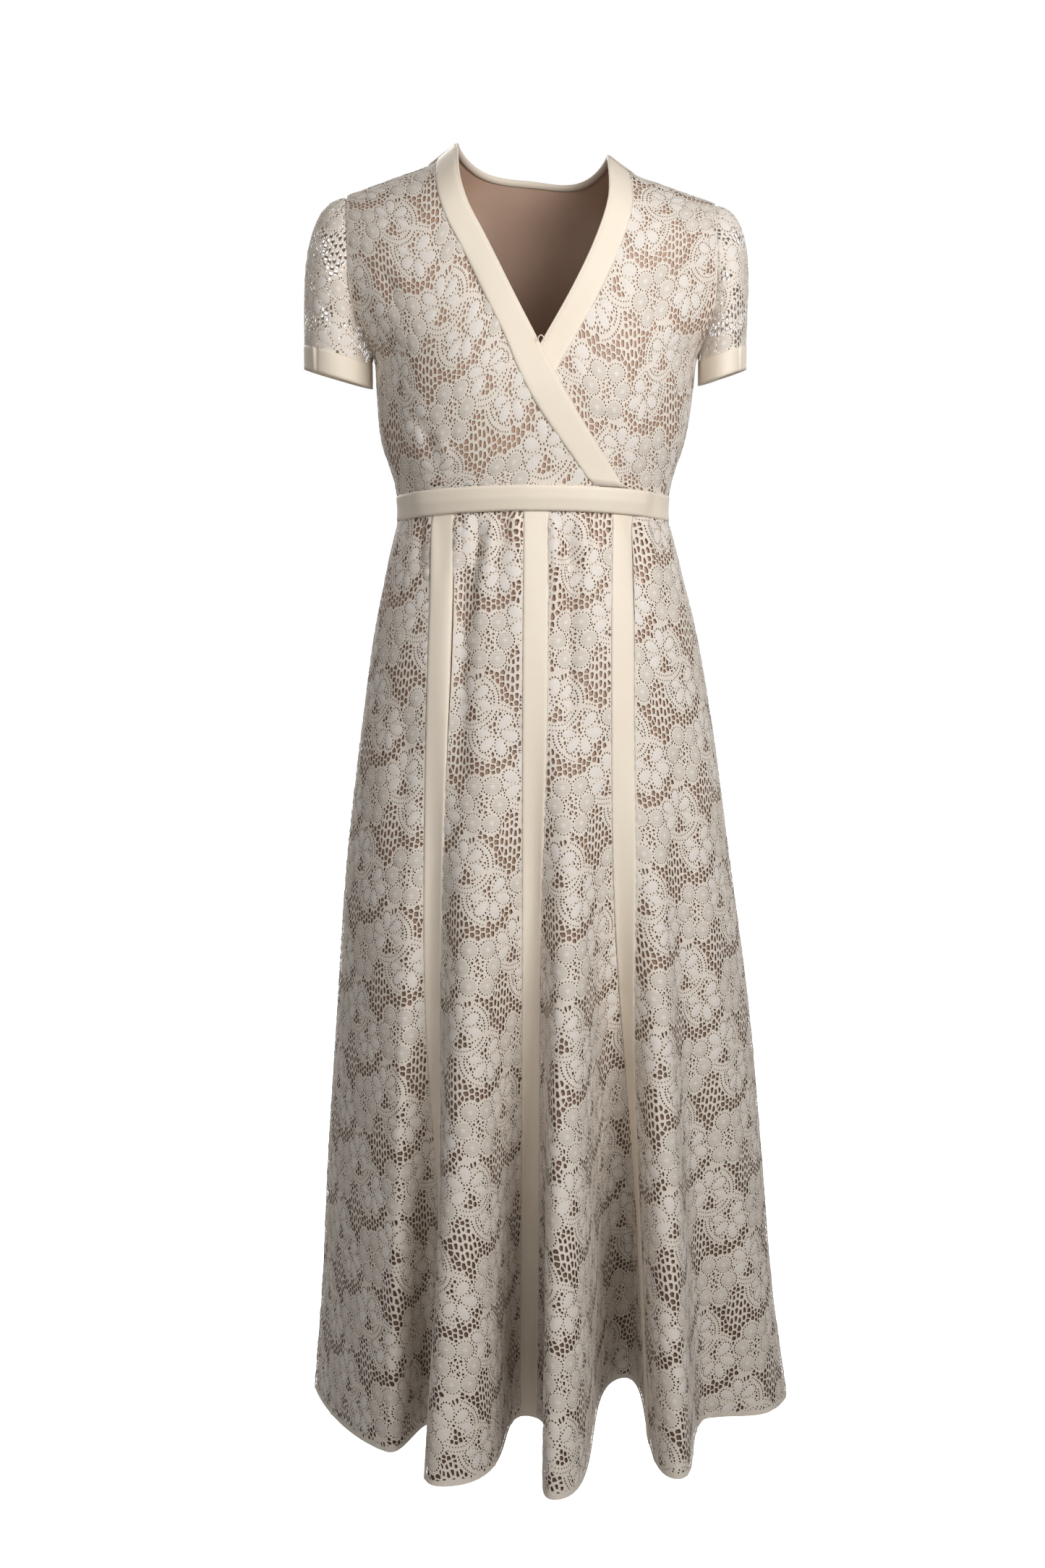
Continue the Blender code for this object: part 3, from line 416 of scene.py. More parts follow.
def neck_edge(table, rows):
    """The front's neck edge in phi and down, with its last row under the waistband."""
    zs = column(table, EDGE_COLUMNS, "z")
    xs = column(table, EDGE_COLUMNS, "x")
    z_seam = float(seam_z(math.cos(float(phi_of(xs[0], zs[0]))))) + SEAM_GAP
    z_band = z_seam + TAPE_WIDTH / 2 + 2 * SEAM_GAP
    z = np.linspace(zs[-1], z_band, 80)
    line = np.stack([through(zs, xs, z), z], axis=-1)
    line = spaced(line, np.linspace(0, 1, rows))
    line = np.concatenate([line, [[float(through(zs, xs, z_seam)), z_seam]]])
    x, z = line[:, 0], line[:, 1]
    down = down_of("front", x, z)
    down[0] = SEAM_GAP
    return np.stack([phi_of(x, z), down], axis=-1)


def front_form(side):
    """The grid of one front's form, and phi on it. Its last columns lie under the neck band."""
    table = OVER_EDGE if side == "right" else UNDER_EDGE
    side_rows = side_seam("front", side, FRONT_FACES["side"])[1:]
    outer = np.concatenate([armhole("front", side, FRONT_FACES["armhole"]), side_rows])
    inner = neck_edge(table, len(outer) - 1)
    fine = 64
    t = np.linspace(0, 1, fine + 1)[:, None]
    top = outer[0] + (inner[0] - outer[0]) * t
    bottom = waist_edge("front", outer[-1, 0], inner[-1, 0], fine)
    outer[-1], inner[-1] = bottom[0], bottom[-1]
    grid = patch(top, bottom, outer, inner)
    phi = grid[-2, :, 0]
    z = seam_z(np.cos(phi)) + TAPE_WIDTH / 2 + WAISTBAND_CLEAR
    grid[-2, :, 1] = down_of("front", middle_x(z) + half_width(z) * np.sin(phi), z)
    rows = []
    for k in range(len(grid)):
        points = torso("front", grid[k, :, 0], grid[k, :, 1])
        run = run_along(points)
        before, after = inner[max(k - 1, 0)], inner[min(k + 1, len(inner) - 1)]
        edge = torso("front", *np.stack([before, after]).T)
        slant = np.linalg.norm(np.cross(unit(edge[1] - edge[0]), unit(points[-1] - points[-4])))
        band = TAPE_WIDTH / slant / run[-1]
        lace_share = np.linspace(0, 1 - band, FRONT_FACES["across"] + 1)
        band_share = np.linspace(1 - band, 1, FRONT_FACES["band"] + 1)[1:]
        place = np.interp(np.append(lace_share, band_share), run / run[-1], t[:, 0])
        rows.append(between(place, t[:, 0], grid[k]))
    grid = np.array(rows)
    return torso("front", grid[..., 0], grid[..., 1]), grid[..., 0]


def back_form():
    """The back's grid. Its first row runs round the neck and lies under the neck band."""
    edges = {}
    for side in ("right", "left"):
        neck_x, tip_x = NECK_POINT_X[side], SHOULDER_TIP_X[side]
        neck = float(phi_of(neck_x, shoulder_z(neck_x)))
        tip = float(phi_of(tip_x, shoulder_z(tip_x)))
        band = TAPE_WIDTH / abs(tip_x - neck_x) / SHOULDER_SLOPE
        stations = np.concatenate([[0], np.linspace(band, 1, BACK_FACES["shoulder"] + 1)])
        shoulder = np.stack([neck + (tip - neck) * stations, np.full(len(stations), SEAM_GAP)], axis=-1)
        armhole_rows = armhole("back", side, BACK_FACES["armhole"])[1:]
        side_rows = side_seam("back", side, BACK_FACES["side"])[1:]
        edges[side] = np.concatenate([shoulder, armhole_rows, side_rows])
    count = BACK_FACES["across"]
    turn = np.linspace(0, math.pi, count + 1)
    start, end = edges["right"][0], edges["left"][0]
    phi = start[0] + (end[0] - start[0]) * (1 - np.cos(turn)) / 2
    deepest = float(down_of("back", 0.0, BACK_NECK_LEVEL))
    top = np.stack([phi, SEAM_GAP + deepest * np.sin(turn)], axis=-1)
    bottom = waist_edge("back", edges["right"][-1, 0], edges["left"][-1, 0], count)
    edges["right"][-1], edges["left"][-1] = bottom[0], bottom[-1]
    lower = top.copy()
    ends = {"right": edges["right"][1, 0] - start[0], "left": edges["left"][1, 0] - end[0]}
    right_side = turn < math.pi / 2
    lower[:, 0] += np.where(right_side, ends["right"], ends["left"]) * np.abs(np.cos(turn))
    lower[:, 1] += TAPE_WIDTH * np.sin(turn)
    rest = patch(lower, bottom, edges["right"][1:], edges["left"][1:])
    near_edge = np.linspace(-1, 1, rest.shape[1])[None, :, None] ** 4
    down = np.linspace(0, 1, rest.shape[0])[:, None, None]
    rest = rest * near_edge + (lower * (1 - down) + bottom * down) * (1 - near_edge)
    grid = np.concatenate([top[None], rest])
    return torso("back", grid[..., 0], grid[..., 1])


# The skirt. s counts along FOLDS and v runs from the waist seam, 0, to the hem, 1.
def fold_points(v):
    """Where each fold's line stands at v, in plan, with its hem's lift."""
    z_level = WAIST_SEAM_SIDE + v * (HEM_LEVEL - WAIST_SEAM_SIDE)
    points = []
    for face, waist_x, hem_x, hem_y, _, _, start in FOLDS:
        grown = max((v - start) / (1 - start), 0.0) ** FOLD_GROWTH
        if face == "side":
            edge = section("left" if waist_x < 0 else "right", z_level)
            depth = section("side", z_level) + (hem_y - section("side", HEM_LEVEL)) * grown
            points.append((edge, depth))
            continue
        x = waist_x + (hem_x - waist_x) * v
        q = np.clip((x - middle_x(z_level)) / half_width(z_level), -1, 1)
        q_hem = np.clip((hem_x - middle_x(HEM_LEVEL)) / half_width(HEM_LEVEL), -1, 1)
        reach = section(face, z_level) - section("side", z_level)
        y = section("side", z_level) + reach * np.sqrt(1 - q * q)
        hem_side = section("side", HEM_LEVEL)
        base = hem_side + (section(face, HEM_LEVEL) - hem_side) * math.sqrt(1 - q_hem**2)
        points.append((x, y + (hem_y - base) * grown))
    return np.array(points, dtype=float)


def fold_fullness(v):
    full = column(FOLDS, FOLD_COLUMNS, "round")
    start = column(FOLDS, FOLD_COLUMNS, "start")
    grown = np.clip((v - start) / (1 - start), 0, 1) ** FOLD_GROWTH
    return 1 + (full - 1) * grown


def skirt_ring(v):
    """The closed ring at v: s, the points in plan, their outward direction and the cloth's level."""
    points = fold_points(v)
    full = fold_fullness(v)
    count = len(points)
    after, before = np.roll(points, -1, axis=0), np.roll(points, 1, axis=0)
    chord_on = np.linalg.norm(after - points, axis=-1)
    chord_back = np.linalg.norm(points - before, axis=-1)
    on, back = chord_on[:, None], chord_back[:, None]
    slope = (after - points) / on * back + (points - before) / back * on
    mix = ease(v, *TURNS_SET)
    slope = unit(slope) * (1 - mix) + unit(after - before) * mix
    s = np.arange(count * POINTS_PER_FOLD + 1) / POINTS_PER_FOLD
    k = np.minimum(s.astype(int), count - 1)
    n = (k + 1) % count
    t = (s - k)[:, None]
    h = chord_on[k][:, None]
    xy = hermite(t, points[k], points[n], slope[k] * full[k][:, None] * h, slope[n] * full[n][:, None] * h)
    along = np.gradient(xy, axis=0)
    along[0] = along[-1] = xy[1] - xy[-2]
    along = unit(along)
    out = np.stack([along[:, 1], -along[:, 0]], axis=-1)
    lifts = column(FOLDS, FOLD_COLUMNS, "lift")
    lift = lifts[k] + (lifts[n] - lifts[k]) * ease(t[:, 0], 0, 1)
    z_level = WAIST_SEAM_SIDE + v * (HEM_LEVEL - WAIST_SEAM_SIDE)
    reach = section("side", z_level) - section("front", z_level)
    forward = (section("side", z_level) - xy[:, 1]) / reach
    z = (1 - v) * (seam_z(forward) - SEAM_GAP) + v * (HEM_LEVEL + lift)
    return s, xy, out, z, run_along(xy)


def normals_of(points):
    """The direction out of a bodice sheet at each of its points, from the grid's own faces."""
    down = np.gradient(points, axis=0)
    across = np.gradient(points, axis=1)
    normal = unit(np.cross(across, down))
    outward = (normal[..., :2] * points[..., :2]).sum() > 0
    return normal if outward else -normal


def moved_out(points, distance):
    return points + normals_of(points) * np.broadcast_to(distance, points.shape[:2])[..., None]


def cuff_oval(turn, sign, centre, half_width_x, depth, rise):
    """Points on the cuff seam. turn is 0 under the arm and a half turn at the outer end."""
    x = centre[0] - sign * half_width_x * np.cos(turn)
    y = centre[1] + depth * np.sin(turn)
    return np.stack([x, y, centre[2] - rise * np.cos(turn)], axis=-1)


# Surfaces: a grid of points down and across, with each row's place in the flat cloth
class Surface:
    """A grid of points, its rows' distance down the cloth and where each row starts and ends across."""

    def __init__(self, points, grain):
        """grain: the share of each row, or of all rows, that hangs on the straight grain."""
        self.points = points
        self.normals = normals_of(points)
        rows, columns = points.shape[:2]
        run = run_along(points, axis=1)
        at = np.broadcast_to(grain, rows) * (columns - 1)
        centre = np.array([np.interp(at[k], np.arange(columns), run[k]) for k in range(rows)])
        line = [between(at[k], np.arange(columns), points[k]) for k in range(rows)]
        self.down = run_along(np.array(line))
        self.left, self.right = -centre, run[:, -1] - centre
        first, second = points[1:, 1:] - points[:-1, :-1], points[1:, :-1] - points[:-1, 1:]
        self.area = float(np.linalg.norm(np.cross(first, second), axis=-1).sum() / 2)

    def place(self, x, y, out):
        """Points at x across and y down the flat cloth, moved outward."""
        rows, columns = self.points.shape[:2]
        r = np.interp(y, self.down, np.arange(rows))
        left = np.interp(y, self.down, self.left)
        right = np.interp(y, self.down, self.right)
        c = np.clip((x - left) / (right - left), 0, 1) * (columns - 1)
        k = np.minimum(r.astype(int), rows - 2)
        n = np.minimum(c.astype(int), columns - 2)
        u, v = (c - n)[:, None], (r - k)[:, None]
        found = []
        for grid in (self.points, self.normals):
            found.append(
                grid[k, n] * (1 - u) * (1 - v)
                + grid[k, n + 1] * u * (1 - v)
                + grid[k + 1, n] * (1 - u) * v
                + grid[k + 1, n + 1] * u * v
            )
        return found[0] + unit(found[1]) * out[:, None]


def evenly(points, columns):
    """Each row of a grid again, with its points evenly apart."""
    rows = []
    for row in points:
        run = run_along(row)
        rows.append(between(np.linspace(0, run[-1], columns), run, row))
    return np.array(rows)


def new_mesh(name, points, triangles, finish, flat):
    """A mesh that rides on the root. flat gives each point's place in the flat cloth."""
    mesh = bpy.data.meshes.new(name)
    mesh.vertices.add(len(points))
    mesh.vertices.foreach_set("co", np.asarray(points, dtype=np.float32).ravel())
    mesh.loops.add(len(triangles) * 3)
    mesh.loops.foreach_set("vertex_index", np.asarray(triangles, dtype=np.int32).ravel())
    mesh.polygons.add(len(triangles))
    mesh.polygons.foreach_set("loop_start", np.arange(0, len(triangles) * 3, 3, dtype=np.int32))
    mesh.update(calc_edges=True)
    mesh.shade_smooth()
    low, high = flat.min(axis=0), flat.max(axis=0)
    for layer, values in (("OFBake", (flat - low) / (high - low) * 0.98 + 0.01), ("flat", flat)):
        uv = mesh.uv_layers.new(name=layer)
        uv.data.foreach_set("uv", values[np.asarray(triangles).ravel()].astype(np.float32).ravel())
    mesh.validate()
    mesh.materials.append(finish)
    made = bpy.data.objects.new(name, mesh)
    bpy.context.scene.collection.objects.link(made)
    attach(made, "root")
    return made


def outward(points, triangles, axis=(0, 0, 0)):
    """The triangles turned so that they face away from an upright axis."""
    a, b, c = (points[triangles[:, k]] for k in range(3))
    normal = np.cross(b - a, c - a)
    away = (a - np.array(axis)) * (1, 1, 0)
    return triangles if (normal * away).sum() > 0 else triangles[:, ::-1]


def grid_triangles(rows, columns):
    k = (np.arange(rows - 1)[:, None] * columns + np.arange(columns - 1)).ravel()
    halves = ((k, k + 1, k + columns + 1), (k, k + columns + 1, k + columns))
    return np.concatenate([np.stack(half, axis=-1) for half in halves])


def plain(name, points, finish, axis=(0, 0, 0), wall=0.0):
    """A plain sheet through a grid of points, made a wall where one is given."""
    rows, columns = points.shape[:2]
    flat_points = points.reshape(-1, 3)
    run = run_along(points, axis=1)
    flat = np.stack([run - run[:, -1:] / 2, -run_along(points)], axis=-1).reshape(-1, 2)
    triangles = outward(flat_points, grid_triangles(rows, columns), axis)
    made = new_mesh(name, flat_points, triangles, finish, flat)
    if wall:
        solid = made.modifiers.new("wall", "SOLIDIFY")
        solid.thickness = wall
        solid.offset = -1.0
    return made


# The lace repeat, in millimetres: x across the cloth and y down it
REPEAT = (115.0, 165.0)
# The flowers: kind, x, y and turn in degrees
MOTIFS = (
    ("round", 33.0, 30.0, 0),
    ("round", 90.5, 112.5, 3),
    ("daisy", 16.5, 91.0, 0),
    ("daisy", 43.0, 123.0, 168),
    ("daisy", 74.0, 8.5, 0),
    ("daisy", 100.5, 40.5, 168),
)
# Bands of close cloth that swing round the daisies: x, y and radius of the circle they lie on, the degrees
# from and to which they run on it, and their width
ARCS = (
    (16.5, 91.0, 26.0, -62, 118, 2.6),
    (43.0, 123.0, 26.0, 104, 176, 2.6),
    (43.0, 123.0, 26.0, 230, 300, 2.6),
    (74.0, 8.5, 26.0, -62, 118, 2.6),
    (100.5, 40.5, 26.0, 104, 176, 2.6),
    (100.5, 40.5, 26.0, 230, 300, 2.6),
)
# Patches of long slits in straight columns: x, y, half width and half height
SLITS = (
    (5.5, 150.0, 12.5, 19.0),
    (63.0, 67.5, 12.5, 19.0),
    (73.5, 148.0, 11.0, 10.5),
    (16.0, 65.5, 11.0, 10.5),
)
# The pitch of the net and of the slits, the thread left round each hole, and the small edging holes
NET_PITCH = (5.3, 7.3)
SLIT_PITCH = (4.7, 9.4)
THREAD = 1.3
SLIT_THREAD = 2.3
DOT_PITCH = 2.9
DOT_HOLE = (0.95, 1.25)
DOT_SIZES = (1.0, 0.75, 0.5)
SETTLING = 1
# How much wider than tall a cell counts, the clearance of the net and the slits from a petal or a band, the
# shortest side of a hole, and the reach past the repeat in which its neighbours are laid
TALL = 0.68
NET_CLEAR = 1.7
SLIT_CLEAR = 2.5
SHORTEST_SIDE = 1.15
MARGIN = {"cells": 16.0, "tile": 14.0}
PETAL_RISE = {1.0: 0.54, 2.0: 0.66}
OUTLINE_RISE = 0.12
ROUND_PETAL = 8.2
ROUND_PLACES = ((-9.2, -18.4), (9.2, -18.4), (17.0, 0.0), (9.2, 18.4), (-9.2, 18.4), (-17.0, 0.0))
# A daisy's petals fan out on one side of its dark middle: way in degrees, distance, half length, half width
DAISY = (
    (-128, 13.8, 8.1, 6.2),
    (-66, 14.2, 8.2, 6.1),
    (-8, 14.8, 8.4, 5.8),
    (48, 13.4, 8.0, 5.8),
    (102, 12.6, 6.4, 4.3),
)


def wrapped(dx, dy):
    """The shortest way between two places of the repeat."""
    wide, high = REPEAT
    return (dx + wide / 2) % wide - wide / 2, (dy + high / 2) % high - high / 2


def petals():
    """Every petal: its middle, half length and half width, the way it points, and 1 for round or 2."""
    found = []
    for kind, x, y, turn in MOTIFS:
        c, s = math.cos(math.radians(turn)), math.sin(math.radians(turn))
        if kind == "round":
            for px, py in ROUND_PLACES:
                place = (x + px * c - py * s, y + px * s + py * c)
                found.append((*place, ROUND_PETAL, ROUND_PETAL, 0.0, 1.0))
        else:
            for way, middle, half_length, half_width in DAISY:
                a = math.radians(way + turn)
                dx, dy = math.sin(a), -math.cos(a)
                place = (x + dx * middle, y + dy * middle)
                found.append((*place, half_length, half_width, math.atan2(dy, dx), 2.0))
    return found


def petal_loop(petal, count, scale):
    """An outline of a petal. A daisy's petal narrows towards the flower's middle."""
    x, y, length, width, way, kind = petal
    places = []
    for k in range(count):
        a = 2 * math.pi * k / count + 0.2
        u, w = math.cos(a), math.sin(a)
        narrow = 1.0 if kind == 1.0 else 0.8 + 0.24 * u
        u, w = u * length * scale, w * width * narrow * scale
        c, s = math.cos(way), math.sin(way)
        places.append((x + u * c - w * s, y + u * s + w * c))
    return places


def arc_places(arc, pitch, side):
    x, y, radius, first, last, width = arc
    reach = radius + side * width / 2
    count = max(int(math.radians(last - first) * reach / pitch), 1)
    for k in range(count + 1):
        a = math.radians(first + (last - first) * k / count)
        yield x + reach * math.cos(a), y + reach * math.sin(a), a + math.pi / 2


def clear_of_solids(x, y, all_petals):
    """How far a place lies from the nearest petal or arc. It is negative inside one."""
    nearest = 99.0
    for px, py, length, width, way, kind in all_petals:
        dx, dy = wrapped(x - px, y - py)
        if abs(dx) > 15 or abs(dy) > 15:
            continue
        c, s = math.cos(way), math.sin(way)
        u, w = dx * c + dy * s, -dx * s + dy * c
        narrow = 1.0 if kind == 1.0 else 0.8 + 0.24 * max(min(u / length, 1), -1)
        nearest = min(nearest, (math.hypot(u / length, w / (width * narrow)) - 1) * width)
    for ax, ay, radius, first, last, width in ARCS:
        dx, dy = wrapped(x - ax, y - ay)
        turn = math.degrees(math.atan2(dy, dx)) % 360
        if first <= turn <= last or first <= turn - 360 <= last or first <= turn + 360 <= last:
            nearest = min(nearest, abs(math.hypot(dx, dy) - radius) - width / 2)
    return nearest


def diamond(x, y, half_x, half_y):
    return [(x, y - half_y), (x + half_x, y), (x, y + half_y), (x - half_x, y)]


def dot_places(all_petals):
    """Where the small holes lie that edge the petals and the bands."""
    kept = []

    def take(x, y):
        for size in DOT_SIZES:
            corners = diamond(x, y, DOT_HOLE[0] * size, DOT_HOLE[1] * size)
            if min(clear_of_solids(*place, all_petals) for place in corners) > 0.1:
                break
        else:
            return
        for ox, oy, other in kept:
            if math.hypot(*wrapped(x - ox, y - oy)) < 0.25 + DOT_HOLE[1] * (size + other):
                return
        kept.append((x % REPEAT[0], y % REPEAT[1], size))

    for kind, x, y, _ in MOTIFS:
        if kind == "round":
            for k in range(6):
                a = math.radians(60 * k + 30)
                take(x + 4.6 * math.cos(a), y + 5.2 * math.sin(a))
    for petal in all_petals:
        length, width = petal[2:4]
        count = int((math.pi * (length + width) + 4) / DOT_PITCH)
        for x, y in petal_loop(petal, count, 1.0 + 1.2 / width):
            take(x, y)
    for arc in ARCS:
        for side, out in ((1, 1.1), (-1, -1.1)):
            x, y, radius, first, last, width = arc
            for dx, dy, _ in arc_places((x, y, radius + out, first, last, width), DOT_PITCH, side):
                take(dx, dy)
    return kept


def cells(seeds):
    """The cell round every seed of the repeat: the places that lie nearest to it."""
    margin = MARGIN["cells"]
    points, source = [], []
    for number, (x, y) in enumerate(seeds):
        for i in (-1, 0, 1):
            for j in (-1, 0, 1):
                px, py = x + i * REPEAT[0], y + j * REPEAT[1]
                if -margin < px < REPEAT[0] + margin and -margin < py < REPEAT[1] + margin:
                    points.append((px, py * TALL))
                    source.append(number if i == j == 0 else -1)
    places, _, faces, _, _, _ = delaunay_2d_cdt([Vector(p) for p in points], [], [], 0, 1e-5, False)
    corners = [[] for _ in points]
    for a, b, c in faces:
        (ax, ay), (bx, by), (cx, cy) = places[a], places[b], places[c]
        d = 2 * (ax * (by - cy) + bx * (cy - ay) + cx * (ay - by))
        if abs(d) < 1e-9:
            continue
        aa, bb, cc = ax * ax + ay * ay, bx * bx + by * by, cx * cx + cy * cy
        x = (aa * (by - cy) + bb * (cy - ay) + cc * (ay - by)) / d
        y = (aa * (cx - bx) + bb * (ax - cx) + cc * (bx - ax)) / d
        for v in (a, b, c):
            corners[v].append((x, y))
    found = {}
    for number, (x, y), ring in zip(source, points, corners):
        if number >= 0:
            ring = sorted(ring, key=lambda p: math.atan2(p[1] - y, p[0] - x))
            found[number] = [(px, py / TALL) for px, py in ring]
    return found


def middle_of(ring):
    """The middle of a ring's area."""
    total, mx, my = 0.0, 0.0, 0.0
    for (ax, ay), (bx, by) in zip(ring, ring[1:] + ring[:1]):
        cross = ax * by - bx * ay
        total += cross
        mx += (ax + bx) * cross
        my += (ay + by) * cross
    return mx / (3 * total), my / (3 * total)


def net_hole(ring, thread):
    """A cell drawn in by half a thread on every side, with its shortest sides left out."""
    mx, my = middle_of(ring)
    width = max(p[0] for p in ring) - min(p[0] for p in ring)
    height = max(p[1] for p in ring) - min(p[1] for p in ring)
    in_x, in_y = 1 - thread * 1.15 / width, 1 - thread * 1.35 / height
    if in_x < 0.25 or in_y < 0.25:
        return None
    loop = []
    for x, y in ring:
        place = (mx + (x - mx) * in_x, my + (y - my) * in_y)
        if not loop or math.dist(place, loop[-1]) > SHORTEST_SIDE:
            loop.append(place)
    if len(loop) > 3 and math.dist(loop[0], loop[-1]) < SHORTEST_SIDE:
        loop.pop()
    return loop if len(loop) > 3 else None


def lace_holes():
    """The outlines of every hole of one repeat."""
    chance = random.Random(5)
    all_petals = petals()
    dots = dot_places(all_petals)
    daisies = [(x, y) for kind, x, y, _ in MOTIFS if kind == "daisy"]
    held = [place[:2] for place in dots] + daisies
    for petal in all_petals:
        held += petal_loop(petal, 10, 0.8) + [petal[:2]]
    for arc in ARCS:
        held += [place[:2] for place in arc_places(arc, 2.4, 0)]
    net = []
    columns, rows = round(REPEAT[0] / NET_PITCH[0]), round(REPEAT[1] / NET_PITCH[1])
    columns += columns % 2
    for i in range(columns):
        for j in range(rows):
            x = i * REPEAT[0] / columns + chance.uniform(-0.7, 0.7)
            y = (j + (i % 2) / 2) * REPEAT[1] / rows + chance.uniform(-0.9, 0.9)
            in_patch = False
            for sx, sy, half_x, half_y in SLITS:
                dx, dy = wrapped(x - sx, y - sy)
                in_patch = in_patch or math.hypot(dx / half_x, dy / half_y) < 1
            if not in_patch and clear_of_solids(x, y, all_petals) > NET_CLEAR:
                net.append((x, y))
    slits = []
    for sx, sy, half_x, half_y in SLITS:
        across, down = int(half_x / SLIT_PITCH[0]), int(half_y / SLIT_PITCH[1]) + 1
        for i in range(-across, across + 1):
            for j in range(-down, down + 1):
                dx, dy = i * SLIT_PITCH[0], (j + (i % 2) * 0.22) * SLIT_PITCH[1]
                if math.hypot(dx / half_x, dy / half_y) < 1:
                    if clear_of_solids(sx + dx, sy + dy, all_petals) > SLIT_CLEAR:
                        slits.append((sx + dx, sy + dy))
    for _ in range(SETTLING):
        found = cells(net + slits + held)
        net = [middle_of(found[k]) for k in range(len(net))]
    found = cells(net + slits + held)
    holes = []
    for k in range(len(net) + len(slits)):
        loop = net_hole(found[k], THREAD if k < len(net) else SLIT_THREAD)
        if loop and min(clear_of_solids(x, y, all_petals) for x, y in loop) > 0.25:
            holes.append(loop)
    holes += [diamond(x, y, DOT_HOLE[0] * size, DOT_HOLE[1] * size) for x, y, size in dots]
    holes += [petal_loop((x, y, 1.5, 1.3, 1.2, 1.0), 6, 1.0) for x, y in daisies]
    return holes, all_petals


def lace_tile():
    """One repeat as triangles. Gives its points (x, y, rise, petal), and triangles as rows of point
    number, repeats across and repeats down for each corner, with whether each one is a hole."""
    holes, all_petals = lace_holes()
    loops = [(loop, "hole", 0.0, 0.0) for loop in holes]
    for petal in all_petals:
        kind = petal[5]
        loops.append((petal_loop(petal, 12 if kind == 1.0 else 10, 1.0), "outline", OUTLINE_RISE, 0.0))
    for petal in all_petals:
        mark = 1.0 if petal[5] == 1.0 else -1.0
        loops.append(([(petal[0], petal[1])], "raised", PETAL_RISE[petal[5]], mark))
    base = []
    for loop, kind, rise, petal in loops:
        for x, y in loop:
            base.append((x % REPEAT[0], y % REPEAT[1], rise, petal))
    margin = MARGIN["tile"]
    points, source, edges, faces = [], [], [], []
    at = 0
    for loop, kind, rise, petal in loops:
        numbers = range(at, at + len(loop))
        at += len(loop)
        mx = sum(p[0] for p in loop) / len(loop)
        my = sum(p[1] for p in loop) / len(loop)
        for i in (-1, 0, 1, 2):
            for j in (-1, 0, 1, 2):
                cx, cy = mx + i * REPEAT[0], my + j * REPEAT[1]
                if not (-margin < cx < REPEAT[0] + margin and -margin < cy < REPEAT[1] + margin):
                    continue
                first = len(points)
                for number, (x, y) in zip(numbers, loop):
                    points.append((x + i * REPEAT[0], y + j * REPEAT[1]))
                    gx = x + i * REPEAT[0] - base[number][0]
                    gy = y + j * REPEAT[1] - base[number][1]
                    source.append((number, round(gx / REPEAT[0]), round(gy / REPEAT[1])))
                ring = list(range(first, len(points)))
                if len(ring) > 2:
                    if kind == "hole":
                        faces.append(ring)
                    else:
                        edges += [(a, b) for a, b in zip(ring, ring[1:] + ring[:1])]
    out_points, _, out_faces, from_points, _, from_faces = delaunay_2d_cdt(
        [Vector(p) for p in points], edges, faces, 0, 1e-4, True
    )
    rows = []
    for face, origin in zip(out_faces, from_faces):
        if any(not from_points[v] for v in face):
            continue
        corners = [source[from_points[v][0]] for v in face]
        x = sum(out_points[v][0] for v in face) / 3
        y = sum(out_points[v][1] for v in face) / 3
        if 0 <= x < REPEAT[0] and 0 <= y < REPEAT[1]:
            rows.append([n for corner in corners for n in corner] + [1 if origin else 0])
    return np.array(base), np.array(rows)


TILE_POINTS, TILE_FACES = lace_tile()
# A point of the tile in one of its repeats is known by one number, made with these
TILE_START, TILE_STRIDE = 8, 64


